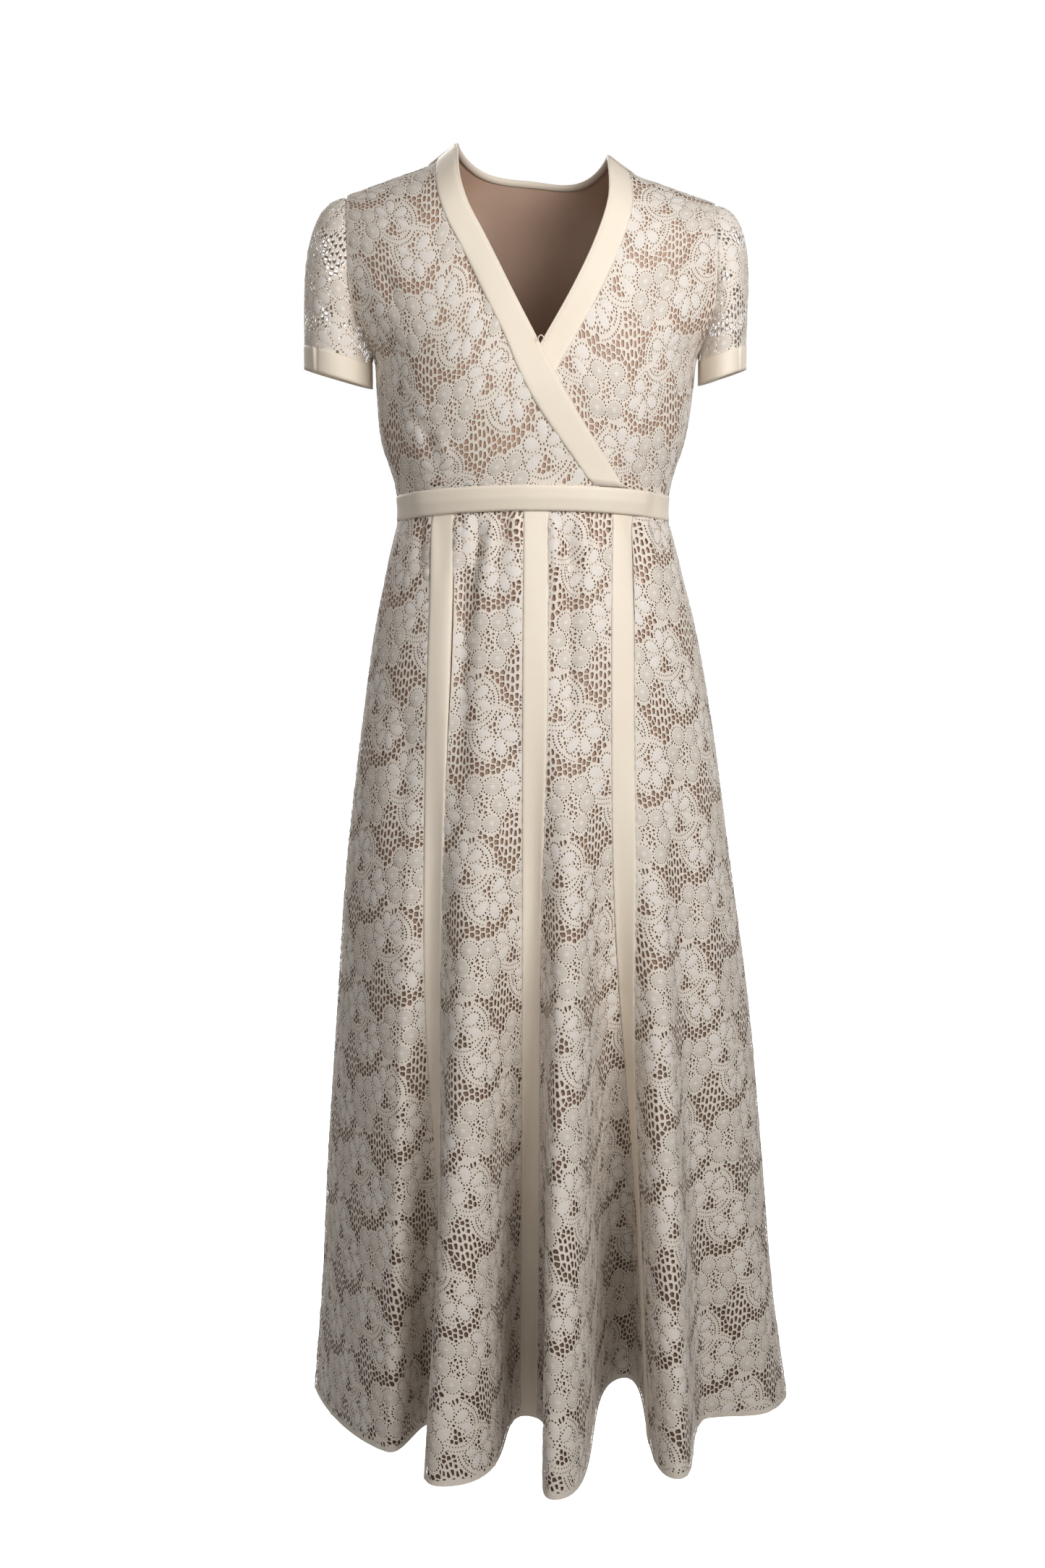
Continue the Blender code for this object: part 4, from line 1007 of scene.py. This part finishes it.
def lace_sheet(name, surface, shift, out, hem=0.0, seam=0.0025, axis=(0, 0, 0)):
    """The lace over a surface: whole repeats laid on the flat cloth, cut to its edges and put in place."""
    high = surface.down[-1] * 1000
    low_x, high_x = surface.left.min() * 1000, surface.right.max() * 1000
    (shift_x, shift_y), (wide, tall) = shift, REPEAT
    parts = []
    for i in range(math.floor((low_x - shift_x) / wide) - 1, math.ceil((high_x - shift_x) / wide) + 1):
        for j in range(math.floor(-shift_y / tall) - 1, math.ceil((high - shift_y) / tall) + 1):
            part = TILE_FACES.copy()
            part[:, [1, 4, 7]] += i + TILE_START
            part[:, [2, 5, 8]] += j + TILE_START
            parts.append(part)
    faces = np.concatenate(parts)
    keys = faces[:, [2, 5, 8]] * TILE_STRIDE + faces[:, [1, 4, 7]]
    keys = keys * len(TILE_POINTS) + faces[:, [0, 3, 6]]
    unique, inverse = np.unique(keys.ravel(), return_inverse=True)
    triangles = inverse.reshape(-1, 3)
    number = unique % len(TILE_POINTS)
    tile = unique // len(TILE_POINTS)
    x = (TILE_POINTS[number, 0] + (tile % TILE_STRIDE - TILE_START) * wide + shift_x) / 1000
    y = (TILE_POINTS[number, 1] + (tile // TILE_STRIDE - TILE_START) * tall + shift_y) / 1000
    y = np.clip(y, 0, surface.down[-1])
    x = np.clip(x, np.interp(y, surface.down, surface.left), np.interp(y, surface.down, surface.right))
    a, b, c = (np.stack([x, y], axis=-1)[triangles[:, k]] for k in range(3))
    (ux, uy), (wx, wy) = (b - a).T, (c - a).T
    size = np.abs(ux * wy - wx * uy) / 2
    middle = (a + b + c) / 3
    near = np.minimum(
        middle[:, 0] - np.interp(middle[:, 1], surface.down, surface.left),
        np.interp(middle[:, 1], surface.down, surface.right) - middle[:, 0],
    )
    filled = (near < seam) | (middle[:, 1] > surface.down[-1] - hem)
    triangles = triangles[(size > 1e-9) & ((faces[:, 9] == 0) | filled)]
    used, inverse = np.unique(triangles.ravel(), return_inverse=True)
    x, y, number = x[used], y[used], number[used]
    points = surface.place(x, y, out + TILE_POINTS[number, 2] / 1000)
    triangles = outward(points, inverse.reshape(-1, 3), axis)
    made = new_mesh(name, points, triangles, LACE, np.stack([x, -y], axis=-1))
    mark = made.data.attributes.new("petal", "FLOAT", "POINT")
    mark.data.foreach_set("value", TILE_POINTS[number, 3].astype(np.float32))
    return made


# Materials
def new_material(name, colour, roughness, sheen=0.0):
    made = bpy.data.materials.new(name)
    made.use_nodes = True
    shader = made.node_tree.nodes["Principled BSDF"]
    shader.inputs["Base Color"].default_value = (*colour, 1)
    shader.inputs["Roughness"].default_value = roughness
    shader.inputs["Sheen Weight"].default_value = sheen
    shader.inputs["Sheen Roughness"].default_value = 0.5
    return made, made.node_tree, shader


def node(tree, kind, inputs=None, **settings):
    made = tree.nodes.new("ShaderNode" + kind)
    for key, value in settings.items():
        setattr(made, key, value)
    for key, value in (inputs or {}).items():
        if isinstance(value, bpy.types.NodeSocket):
            tree.links.new(value, made.inputs[key])
        else:
            made.inputs[key].default_value = value
    return made


def mixed(tree, factor, first, second):
    """Two colours mixed. A colour is a socket or three numbers."""
    inputs = {0: factor, 6: first, 7: second}
    for key in (6, 7):
        if isinstance(inputs[key], tuple):
            inputs[key] = (*inputs[key], 1)
    return node(tree, "Mix", inputs, data_type="RGBA").outputs[2]


def span(tree, value, low, high):
    """0 where value is low and 1 where it is high."""
    return node(tree, "MapRange", {0: value, 1: low, 2: high}).outputs[0]


def wave(tree, flat, way, scale, distortion, detail=2.0):
    inputs = {"Vector": flat, "Scale": scale, "Distortion": distortion, "Detail": detail}
    return node(tree, "TexWave", inputs, bands_direction=way).outputs["Fac"]


def finished(tree, shader, colour, height, strength, distance):
    bump = node(tree, "Bump", {"Height": height, "Strength": strength, "Distance": distance})
    tree.links.new(colour, shader.inputs["Base Color"])
    tree.links.new(bump.outputs[0], shader.inputs["Normal"])


def lace_material(name, thread, petal_tone, stripe, middle):
    """Lace: plain thread in the net, and fine rows across the round petals with a bright middle."""
    made, tree, shader = new_material(name, thread, 0.9, 0.08)
    flat = node(tree, "UVMap", uv_map="flat").outputs["UV"]
    petal = node(tree, "Attribute", attribute_name="petal").outputs["Fac"]
    cloud = node(tree, "TexNoise", {"Vector": flat, "Scale": 14.0, "Detail": 3.0}).outputs["Fac"]
    rows = wave(tree, flat, "Y", 200.0, 1.2, 1.0)
    cords = wave(tree, flat, "DIAGONAL", 420.0, 2.0)
    inside = span(tree, petal, 0.005, 0.06)
    other = node(tree, "Math", {0: petal, 1: -1.0}, operation="MULTIPLY").outputs[0]
    rowed = mixed(tree, span(tree, rows, 0.25, 0.75), stripe, petal_tone)
    round_petal = mixed(tree, span(tree, petal, 0.62, 0.86), rowed, middle)
    shade = tuple(value * 0.93 for value in thread)
    ground = mixed(tree, span(tree, cloud, 0.3, 0.7), shade, thread)
    coloured = mixed(tree, inside, ground, round_petal)
    coloured = mixed(tree, span(tree, other, 0.005, 0.07), coloured, middle)
    height = node(tree, "Mix", {"Factor": inside, "A": cords, "B": rows}).outputs["Result"]
    finished(tree, shader, coloured, height, 0.4, 0.0004)
    return made


def woven_material(name, colour, shade, pitch, strength, roughness, low=None):
    """Plain woven cloth. low is painted shade: the darker colour it takes towards the hem, for the deeper
    shadow there.
    """
    made, tree, shader = new_material(name, colour, roughness, 0.15)
    flat = node(tree, "UVMap", uv_map="flat").outputs["UV"]
    weft, warp = wave(tree, flat, "Y", pitch, 0.8, 1.0), wave(tree, flat, "X", pitch * 0.8, 0.8)
    weave = node(tree, "Math", {0: weft, 1: warp}, operation="MULTIPLY").outputs[0]
    place = node(tree, "NewGeometry").outputs["Position"]
    cloud = node(tree, "TexNoise", {"Vector": place, "Scale": 11.0, "Detail": 4.0}).outputs["Fac"]
    out = mixed(tree, span(tree, cloud, 0.3, 0.62), shade, colour)
    # Painted shade: the colour darkens with height, from z -0.35 down to -1.25, towards low
    if low:
        height = node(tree, "SeparateXYZ", {0: place}).outputs[2]
        out = mixed(tree, span(tree, height, -0.35, -1.25), out, low)
    finished(tree, shader, out, weave, strength, 0.0003)
    return made


LACE = lace_material(
    "lace_cloth", (0.86, 0.785, 0.7), (0.8, 0.74, 0.675), (0.64, 0.575, 0.505), (0.84, 0.79, 0.74)
)
FINISHES = {
    # The lining's last colour is painted shade: it darkens the skirt lining towards the hem
    "lining": woven_material(
        "lining_cloth", (0.52, 0.345, 0.25), (0.44, 0.285, 0.205), 620.0, 0.15, 0.5, (0.2, 0.125, 0.085)
    ),
    "tape": woven_material("tape_cloth", (0.93, 0.84, 0.715), (0.9, 0.8, 0.67), 520.0, 0.35, 0.6),
}


# Pieces of cloth
def declare(stands_for):
    """Hides the CAD part that a piece stands for."""
    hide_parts(stands_for)


def lace(name, surface, shift, out=LACE_OUT, stands_for=None, held="hung", rests_on=(), **edges):
    made = lace_sheet(name, surface, shift, out, **edges)
    declare(stands_for or name)


def woven(name, points, slot, form=None, held="hung", **more):
    """Lining or tape through a grid of points. form is not used."""
    made = plain(name, points, FINISHES[slot], **more)
    declare(name)
    return made


def grain_at(points, x):
    """For each row, the share of the row where it crosses an upright line."""
    found = []
    for row in points:
        rises = row[-1, 0] > row[0, 0]
        share = np.interp(x, row[:, 0] if rises else row[::-1, 0], np.linspace(0, 1, len(row)))
        found.append(share if rises else 1 - share)
    return np.array(found)


def edge_of(edge, inner, way):
    """An edge, the way out of the cloth there, and the way on past it."""
    return edge, way, unit(edge - inner)


# Creases, in millimetres: the face of the dress, the width, the height off the cloth (a trough's
# is negative), and the places it runs through as x and z
CREASES = (
    ("front", 11, -9.5, ((-44, -372), (-54, -405), (-64, -440), (-69, -530), (-72, -720))),
    ("front", 6, 2.6, ((-33, -372), (-40, -405), (-48, -450), (-50, -520))),
    ("front", 4.5, -2.4, ((-21.5, -370), (-23.5, -395), (-26, -420))),
    ("front", 4, 2.2, ((-13, -370), (-14, -388), (-16, -410))),
    ("front", 8.5, -7.6, ((31.8, -370), (38.5, -400), (41.3, -430), (40.8, -530), (38.5, -700))),
    ("front", 6, 3, ((23, -370), (26, -400), (28, -440), (29, -500))),
    ("front", 5, 2.6, ((50, -370), (54, -395), (56, -440))),
    ("front", 4.5, -2.2, ((61, -370), (64, -392), (65, -425))),
    ("front", 5, -2.6, ((-108, -372), (-110, -400), (-115, -450))),
    ("front", 6, 2.4, ((-99, -372), (-96, -410), (-98, -470))),
    ("front", 7, -3, ((100, -372), (108, -410), (112, -500))),
    ("front", 5.5, 2.5, ((112, -372), (123, -410), (130, -470))),
    ("front", 12, -2.8, ((-123, -560), (-132, -680), (-136, -800))),
    ("front", 11, -2.6, ((150, -600), (164, -720), (172, -840))),
    ("front", 10, -2.2, ((-56, -620), (-59, -720), (-57, -820))),
    ("front", 9, -2.4, ((56, -560), (54, -660), (57, -740))),
    ("back", 7, -3.8, ((-82, -376), (-90, -420), (-98, -520))),
    ("back", 6, 2.8, ((-64, -376), (-68, -410), (-74, -480))),
    ("back", 5, -2.6, ((-42, -376), (-44, -400), (-45, -440))),
    ("back", 7.5, -4, ((56, -376), (64, -430), (72, -540))),
    ("back", 6, 2.7, ((34, -376), (38, -410), (42, -460))),
    ("back", 5, -2.4, ((18, -376), (19, -400), (21, -430))),
    ("back", 6.5, -3, ((102, -376), (111, -420), (120, -490))),
    ("back", 11, -2.6, ((-136, -600), (-150, -720), (-158, -830))),
    ("back", 11, -2.4, ((98, -640), (108, -740), (112, -820))),
    ("front", 6.2, -3.4, ((-114, -272), (-103, -294), (-96.5, -314), (-93.5, -336))),
    ("front", 5.2, 2, ((-90, -288), (-83, -310), (-79, -336))),
    ("front", 8.5, -2.8, ((-146, -130), (-134, -160), (-127, -198))),
    ("front", 6, -1.8, ((-64, -120), (-49, -158), (-38, -190))),
    ("front", 8.5, -2.6, ((136, -128), (126, -165), (122, -212))),
    ("front", 6, -2.6, ((77, -268), (80, -295), (83, -336))),
    ("front", 5, 2, ((105, -280), (108, -305), (109, -336))),
    ("back", 8, -3, ((-86, -225), (-80, -270), (-82, -336))),
    ("back", 7, -2.7, ((70, -238), (76, -290), (80, -336))),
    ("back", 8.5, -2.5, ((-126, -145), (-115, -180), (-110, -222))),
    ("back", 8, -2.2, ((122, -138), (113, -175), (108, -220))),
)


def creased(points):
    """How far the creases move each point of a row or a grid outward."""
    x, y, z = points[..., 0], points[..., 1], points[..., 2]
    middle = section("side", z)
    move = np.zeros(x.shape)
    for face, width, height, places in CREASES:
        xs, zs = np.array(places).T / 1000
        at = np.interp(-z, -zs, xs)
        share = np.clip((zs[0] - z) / (zs[0] - zs[-1]), -0.2, 1.2)
        along = np.where(share < 0.12, ease(share, -0.02, 0.12), ease(share, 1.06, 0.35))
        here = (y < middle) if face == "front" else (y > middle)
        move += height / 1000 * along * here * np.exp(-(((x - at) * 1000 / width) ** 2))
    return move


# The points across a tape, how far its long edges are rounded down, and the steps by which it turns in
# over a neck edge: off the form and on past its edge
TAPE_POINTS = 13
EDGE_DROP = 0.0009
TURN_IN = ((0.0022, 0.0007), (0.0008, 0.001), (-0.0006, 0.0006), (-0.0012, -0.0012), (-0.0013, -0.006))


def tape(name, grid, turned=None):
    """Tape along a grid whose columns run across it, with its long edges turned down.

    turned is the form's own edge and the way out of it, where the tape is turned in over a neck edge.
    """
    columns = grid.shape[1]
    across = np.linspace(-1, 1, TAPE_POINTS)
    at = (across + 1) / 2 * (columns - 1)
    k = np.minimum(at.astype(int), columns - 2)
    t = (at - k)[None, :, None]
    fine = grid[:, k] * (1 - t) + grid[:, k + 1] * t
    drop = -EDGE_DROP * np.clip((np.abs(across) - 0.9) / 0.1, 0, 1) ** 2
    fine = fine + normals_of(fine) * drop[None, :, None]
    if turned:
        edge, way, on = turned
        added = [edge + way * lift + on * reach for lift, reach in TURN_IN]
        fine = np.concatenate([fine, np.stack(added, axis=1)], axis=1)
    woven(name, fine, "tape", wall=TAPE_THICKNESS)


# Bodice
def bodice(side):
    """One front's lining, lace and neck band. Gives the grid of its form."""
    name, grain_x, shift = FRONTS[side]
    form, phi = front_form(side)
    if side == "right":
        form = moved_out(form, lap_lift(form, phi))
    form = moved_out(form, creased(form))
    lining = woven(f"bodice_lining_front_{name}", moved_out(form, LINING_OUT["bodice"]), "lining", form)
    points = evenly(form[:, : FRONT_FACES["across"] + 2], LACE_COLUMNS["front"])
    surface = Surface(points, grain_at(points, grain_x))
    lace(f"bodice_lace_front_{name}", surface, shift, rests_on=[lining])
    band = moved_out(form, TAPE_OUT)[:-1, FRONT_FACES["across"] :]
    tape(f"neck_band_{name}", band, edge_of(form[:-1, -1], form[:-1, -2], normals_of(form)[:-1, -1]))
    return form


fronts = {side: bodice(side) for side in FRONTS}
back = back_form()
back = moved_out(back, creased(back))
lining = woven("bodice_lining_back", moved_out(back, LINING_OUT["bodice"]), "lining", back)
points = evenly(back[1:], LACE_COLUMNS["back"])
lace("bodice_lace_back", Surface(points, grain_at(points, 0.0)), BACK_SHIFT, rests_on=[lining])
neck = np.swapaxes(moved_out(back, TAPE_OUT)[:2][::-1], 0, 1)
tape("neck_band_back", neck, edge_of(back[0], back[1], normals_of(back)[0]))

# The small thread loop where the neck bands cross: its ends as x and z, its height, how far its ends and
# its middle stand off the lapped front, and the thread's radius
LOOP = {"start": (0.0082, -0.203), "end": (0.0146, -0.2035), "height": 0.0062, "out": (0.0062, 0.0012)}
LOOP_THREAD = 0.0005


def front_depth(x, z):
    """The depth of the lapped front's face at a place seen from the front."""
    points = fronts["right"].reshape(-1, 3)
    near = [int(np.argmin(np.hypot(points[:, 0] - a, points[:, 2] - b))) for a, b in zip(x, z)]
    return points[near, 1]


def thread_loop():
    (start_x, start_z), (end_x, end_z) = LOOP["start"], LOOP["end"]
    turn = np.linspace(0, math.pi, 15)
    x = (start_x + end_x) / 2 - (end_x - start_x) / 2 * np.cos(turn)
    z = (start_z + end_z) / 2 + LOOP["height"] * np.sin(turn)
    y = front_depth(x, z) - LOOP["out"][0] - LOOP["out"][1] * np.sin(turn)
    line = np.stack([x, y, z], axis=-1)
    along = unit(np.gradient(line, axis=0))
    side = unit(np.cross(along, [0, 1, 0]))
    up = np.cross(side, along)
    around = np.linspace(0, 2 * math.pi, 7)
    rings = [line + LOOP_THREAD * (side * math.cos(a) + up * math.sin(a)) for a in around]
    plain("neck_loop", np.stack(rings, axis=1), FINISHES["tape"])


thread_loop()


# Sleeves
def level_rows(points):
    """A sleeve half again, in rows that run level round the arm from its outer line to the armhole."""
    rows, columns = SLEEVE_GRID
    last = points.shape[1] - 1
    run = run_along(points)
    start = np.maximum.accumulate(points[0, 0, 2] - points[0, :, 2] + np.arange(last + 1) * 1e-6)
    depth = start + (run[-1, 0] - start) * run / run[-1]
    found = []
    for y in np.linspace(0.003, run[-1, 0], rows):
        row = []
        for c in np.linspace(0, np.interp(y, start, np.arange(last + 1)), columns):
            k = min(int(c), last - 1)
            line = points[:, k] * (k + 1 - c) + points[:, k + 1] * (c - k)
            fall = depth[:, k] * (k + 1 - c) + depth[:, k + 1] * (c - k)
            row.append([np.interp(y, fall, line[:, n]) for n in range(3)])
        found.append(row)
    return evenly(np.array(found), columns)


def sleeve_half(head, sign, depth, centre, half_width_x, half_depth, rise, puff):
    """A grid from the armhole down to the cuff seam. depth is -1 at the front and 1 at the back."""
    turn = np.linspace(math.pi, 0, len(head))
    start = head + np.array([sign * SLEEVE_PARTING, 0, 0])
    cuff = cuff_oval(turn, sign, centre, half_width_x, depth * half_depth, rise)
    top = (1 - np.cos(turn)) / 2
    side = sign * (0.15 + 0.8 * top)
    leave = np.stack([side, depth * 0.25 * np.sin(turn), (puff + 0.7) * top - 1.0], axis=-1)
    reach = (np.linalg.norm(cuff - start, axis=-1) * (0.2 + 0.8 * np.sqrt(top)))[:, None]
    t = np.linspace(0, 1, SLEEVE_GRID[0])[:, None, None]
    points = hermite(t, start, cuff, leave * reach, np.array([0, 0, -1]) * reach)
    away = (points - np.array(centre)) * (1, 1, 0)
    away /= np.linalg.norm(away, axis=-1)[..., None] + 1e-9
    share = np.linspace(0, 1, len(head))
    ruck = np.sin(share * 23 + 2 * np.sin(share * 7)) * np.clip(t[:, :, 0] - 0.6, 0, 1) ** 1.5
    ruck = ruck + np.sin(share * 26 + 1) * np.clip(0.35 - t[:, :, 0], 0, 1) ** 1.5
    points = points + away * (RUCK_HEIGHT * ruck * np.sin(share * math.pi) ** 0.5)[..., None]
    return level_rows(points)


for side, centre, half_width_x, half_depth, rise, puff, shift in SLEEVES:
    sign = -1 if side == "right" else 1
    count = FRONT_FACES["armhole"]
    first = BACK_FACES["shoulder"] + 1
    heads = {
        "front": fronts[side][: count + 1, 0],
        "back": back[first : first + count + 1, 0 if side == "right" else -1],
    }
    for face, head in heads.items():
        depth = -1 if face == "front" else 1
        points = sleeve_half(head, sign, depth, centre, half_width_x, half_depth, rise, puff)
        if face == "back":
            points = points[:, ::-1]
        surface = Surface(points, 1.0 if face == "back" else 0.0)
        surface.normals = surface.normals * np.sign(
            (surface.normals * (surface.points - np.array(centre)) * (1, 1, 0)).sum()
        )
        lace(f"sleeve_{side}_{face}", surface, shift, 0.0, seam=0.0012, axis=centre)
    turn = np.linspace(0, 2 * math.pi, CUFF_POINTS)
    ring = cuff_oval(turn, sign, centre, half_width_x + CUFF_OUT, half_depth + CUFF_OUT, rise)
    rows = np.array([ring - np.array([0, 0, d]) for d in np.linspace(-CUFF_OUT, CUFF_HEIGHT, CUFF_ROWS)])
    pleat = np.zeros(CUFF_POINTS)
    for height, place, width in CUFF_PLEAT:
        pleat += height * np.exp(-(((turn - 2 * math.pi + place) / width) ** 2))
    pleat = np.linspace(1, CUFF_PLEAT_LOW, CUFF_ROWS)[:, None] * pleat
    rows = rows + unit((ring - np.array(centre)) * (1, 1, 0)) * pleat[..., None]
    woven(f"cuff_{side}", rows, "tape", axis=centre, wall=CUFF_THICKNESS)

# Waistband
rows = []
for step in np.linspace(0.5, -0.5, BAND_ROWS):
    lapped_share = 1.0 if step >= 0 else 1 + step * 2 * (1 - BAND_LAP["lower_edge"])
    ring = []
    for face, sign in (("front", 1), ("back", -1)):
        phi = np.linspace(-math.pi / 2, math.pi / 2, BAND_POINTS + 1)[:-1] * sign
        forward = np.cos(phi) if face == "front" else np.zeros(BAND_POINTS)
        z = seam_z(forward) + step * TAPE_WIDTH
        reach = section(face, z) - section("side", z)
        x = middle_x(z) + half_width(z) * np.sin(phi)
        y = section("side", z) + reach * np.cos(phi)
        out = np.stack([np.sin(phi) / half_width(z), np.cos(phi) / reach, np.zeros(BAND_POINTS)], axis=-1)
        degrees = np.degrees(phi)
        lapped = ease(degrees, *BAND_LAP["climb"]) * (1 - ease(degrees, *BAND_LAP["fall"]))
        lapped *= face == "front"
        away = WAISTBAND_OUT + LAP_LIFT * lapped * lapped_share - BAND_EDGE * (abs(step) == 0.5)
        ring.append(np.stack([x, y, z], axis=-1) + unit(out) * away[:, None])
    ring = np.concatenate(ring)
    rows.append(np.concatenate([ring, ring[:1]]))
woven("waistband", np.array(rows), "tape", wall=TAPE_THICKNESS)


# Skirt
def marks_at(v, s, run):
    """Where the gores and tapes start and end along the ring."""
    marks = [0.0]
    for stations in TAPES.values():
        middle = np.interp(through(np.array(TAPE_STATIONS), np.array(stations), v), s, run)
        marks += [middle - TAPE_WIDTH / 2, middle + TAPE_WIDTH / 2]
    return marks + [np.interp(BACK_START, s, run), run[-1]]


rings = []
for v in SKIRT_LEVELS:
    s, xy, out, z, run = skirt_ring(v)
    rings.append((np.column_stack([xy, z]), np.column_stack([out, 0 * z]), run, marks_at(v, s, run)))


def strip(first, last, columns, off_form):
    """A stretch of the skirt between two marks, as a grid. off_form takes v and the shares across."""
    rows = []
    for v, (points, out, run, marks) in zip(SKIRT_LEVELS, rings):
        at = np.linspace(marks[first], marks[last], columns)
        place = between(at, run, points)
        away = off_form(v, np.linspace(0, 1, columns)) + creased(place)
        rows.append(place + unit(between(at, run, out)) * away[:, None])
    return np.array(rows)


def gathers(seed, count, height, reach):
    """The small gathers under the waistband, uneven in size, spacing and length."""
    chance = random.Random(seed)
    rucks = []
    for k in range(count * 2):
        middle = (k + 0.5 + chance.uniform(*GATHER_SHIFT)) / (count * 2)
        width, size, length = (chance.uniform(*limits) for limits in GATHER_RANGES)
        rucks.append((middle, GATHER_WIDTH / count * width, size, length))

    def off_form(v, share):
        move = np.zeros(len(share))
        for middle, width, size, length in rucks:
            fall = float(ease(v, *GATHER_START)) * math.exp(-((v / (reach * length)) ** 2))
            move += height * size * fall * np.exp(-(((share - middle) / width) ** 2))
        return move

    return off_form


def lining_off_form(v, share):
    waist, hem = LINING_OUT["waist"], LINING_OUT["hem"]
    return waist + (hem - waist) * min(v * 1.4, 1)


for number, (gore, first, last, columns, shift, *gather) in enumerate(GORES):
    grid = strip(first, last, columns, gathers(number + 3, *gather))
    halves = {"": (grid, 0.5)}
    if gore == "back":
        halves = {"_left": (grid[:, : columns // 2], 1.0), "_right": (grid[:, columns // 2 - 1 :], 0.0)}
    for half, (part, grain) in halves.items():
        lace(
            f"skirt_lace_{gore}{half}", Surface(part, grain), shift, held="gathered", hem=0.006, seam=0.0015,
            stands_for="skirt_lace_back" if gore == "back" else "skirt_lace_front",
        )
for side, first in (("right", 1), ("centre", 3), ("left", 5)):
    tape(f"skirt_tape_{side}", strip(first, first + 1, TAPE_COLUMNS, lambda v, share: TAPE_OUT))
for face, first, last in (("front", 0, 7), ("back", 7, 8)):
    grid = strip(first, last, LINING_COLUMNS[face], lining_off_form)
    grid = np.concatenate([grid[:-1:2], grid[-1:]])
    woven(f"skirt_lining_{face}", grid, "lining", held="gathered")

# Camera, light and floor
scene = bpy.context.scene
camera_data = bpy.data.cameras.new("camera")
camera_data.lens = 56.81
camera_data.sensor_fit = "VERTICAL"
camera_data.sensor_height = 36
camera = bpy.data.objects.new("camera", camera_data)
camera.location = (-0.0068, -2.6, -0.356)
camera.rotation_euler = (math.radians(83.4), 0, 0)
scene.collection.objects.link(camera)
scene.camera = camera
world = bpy.data.worlds.new("studio")
world.use_nodes = True
tree = world.node_tree
studio = tree.nodes["Background"]
studio.inputs[0].default_value = (1.0, 0.955, 0.91, 1)
studio.inputs[1].default_value = 0.25
backdrop = node(tree, "Background", {"Color": (1, 1, 1, 1), "Strength": 1.0})
seen = node(tree, "LightPath").outputs["Is Camera Ray"]
both = node(tree, "MixShader", {0: seen, 1: studio.outputs[0], 2: backdrop.outputs[0]})
tree.links.new(both.outputs[0], tree.nodes["World Output"].inputs[0])
scene.world = world
# Name, place, power, size and colour. All of them face the middle of the dress
LIGHTS = (
    ("key", (0.8, -1.5, 0.2), 22.5, 0.8, (1, 0.985, 0.965)),
    ("fill", (-0.9, -2.6, 0.2), 8, 1.4, (0.98, 0.99, 1)),
    ("rear_key", (-0.9, 1.9, 0.6), 30, 0.9, (1, 0.985, 0.965)),
    ("rear_fill", (1.6, 2.3, 0.2), 12, 1.4, (0.98, 0.99, 1)),
)
LIT_PLACE = Vector((0, 0, -0.35))
for name, place, power, size, colour in LIGHTS:
    light = bpy.data.lights.new(name, "AREA")
    light.energy, light.size, light.color = power, size, colour
    lamp = bpy.data.objects.new(name, light)
    lamp.location = place
    lamp.rotation_euler = (LIT_PLACE - Vector(place)).to_track_quat("-Z", "Y").to_euler()
    scene.collection.objects.link(lamp)
FLOOR_LEVEL, FLOOR_REACH = -1.56, 9
corners = [(x * FLOOR_REACH, y * FLOOR_REACH, FLOOR_LEVEL) for x, y in ((-1, -1), (1, -1), (1, 1), (-1, 1))]
floor = bpy.data.meshes.new("floor")
floor.from_pydata(corners, [], [(0, 1, 2, 3)])
paint, tree, shader = new_material("floor_paint", (0.9, 0.9, 0.9), 0.9)
speck = node(tree, "TexNoise", {"Scale": 40.0}).outputs["Fac"]
ramp = node(tree, "MapRange", {0: speck, 3: 0.86, 4: 0.9}).outputs[0]
tree.links.new(ramp, shader.inputs["Base Color"])
shader.inputs["Emission Color"].default_value = (1, 1, 1, 1)
shader.inputs["Emission Strength"].default_value = 1.0
floor.materials.append(paint)
floor_object = bpy.data.objects.new("floor", floor)
scene.collection.objects.link(floor_object)
floor_object.visible_diffuse = False
floor_object.visible_glossy = False
floor_object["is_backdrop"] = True
scene.view_settings.view_transform = "Standard"

boxes = {"cad": CAD_BOX, "visual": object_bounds()}
boxes = {name: [[float(number) for number in corner] for corner in box] for name, box in boxes.items()}
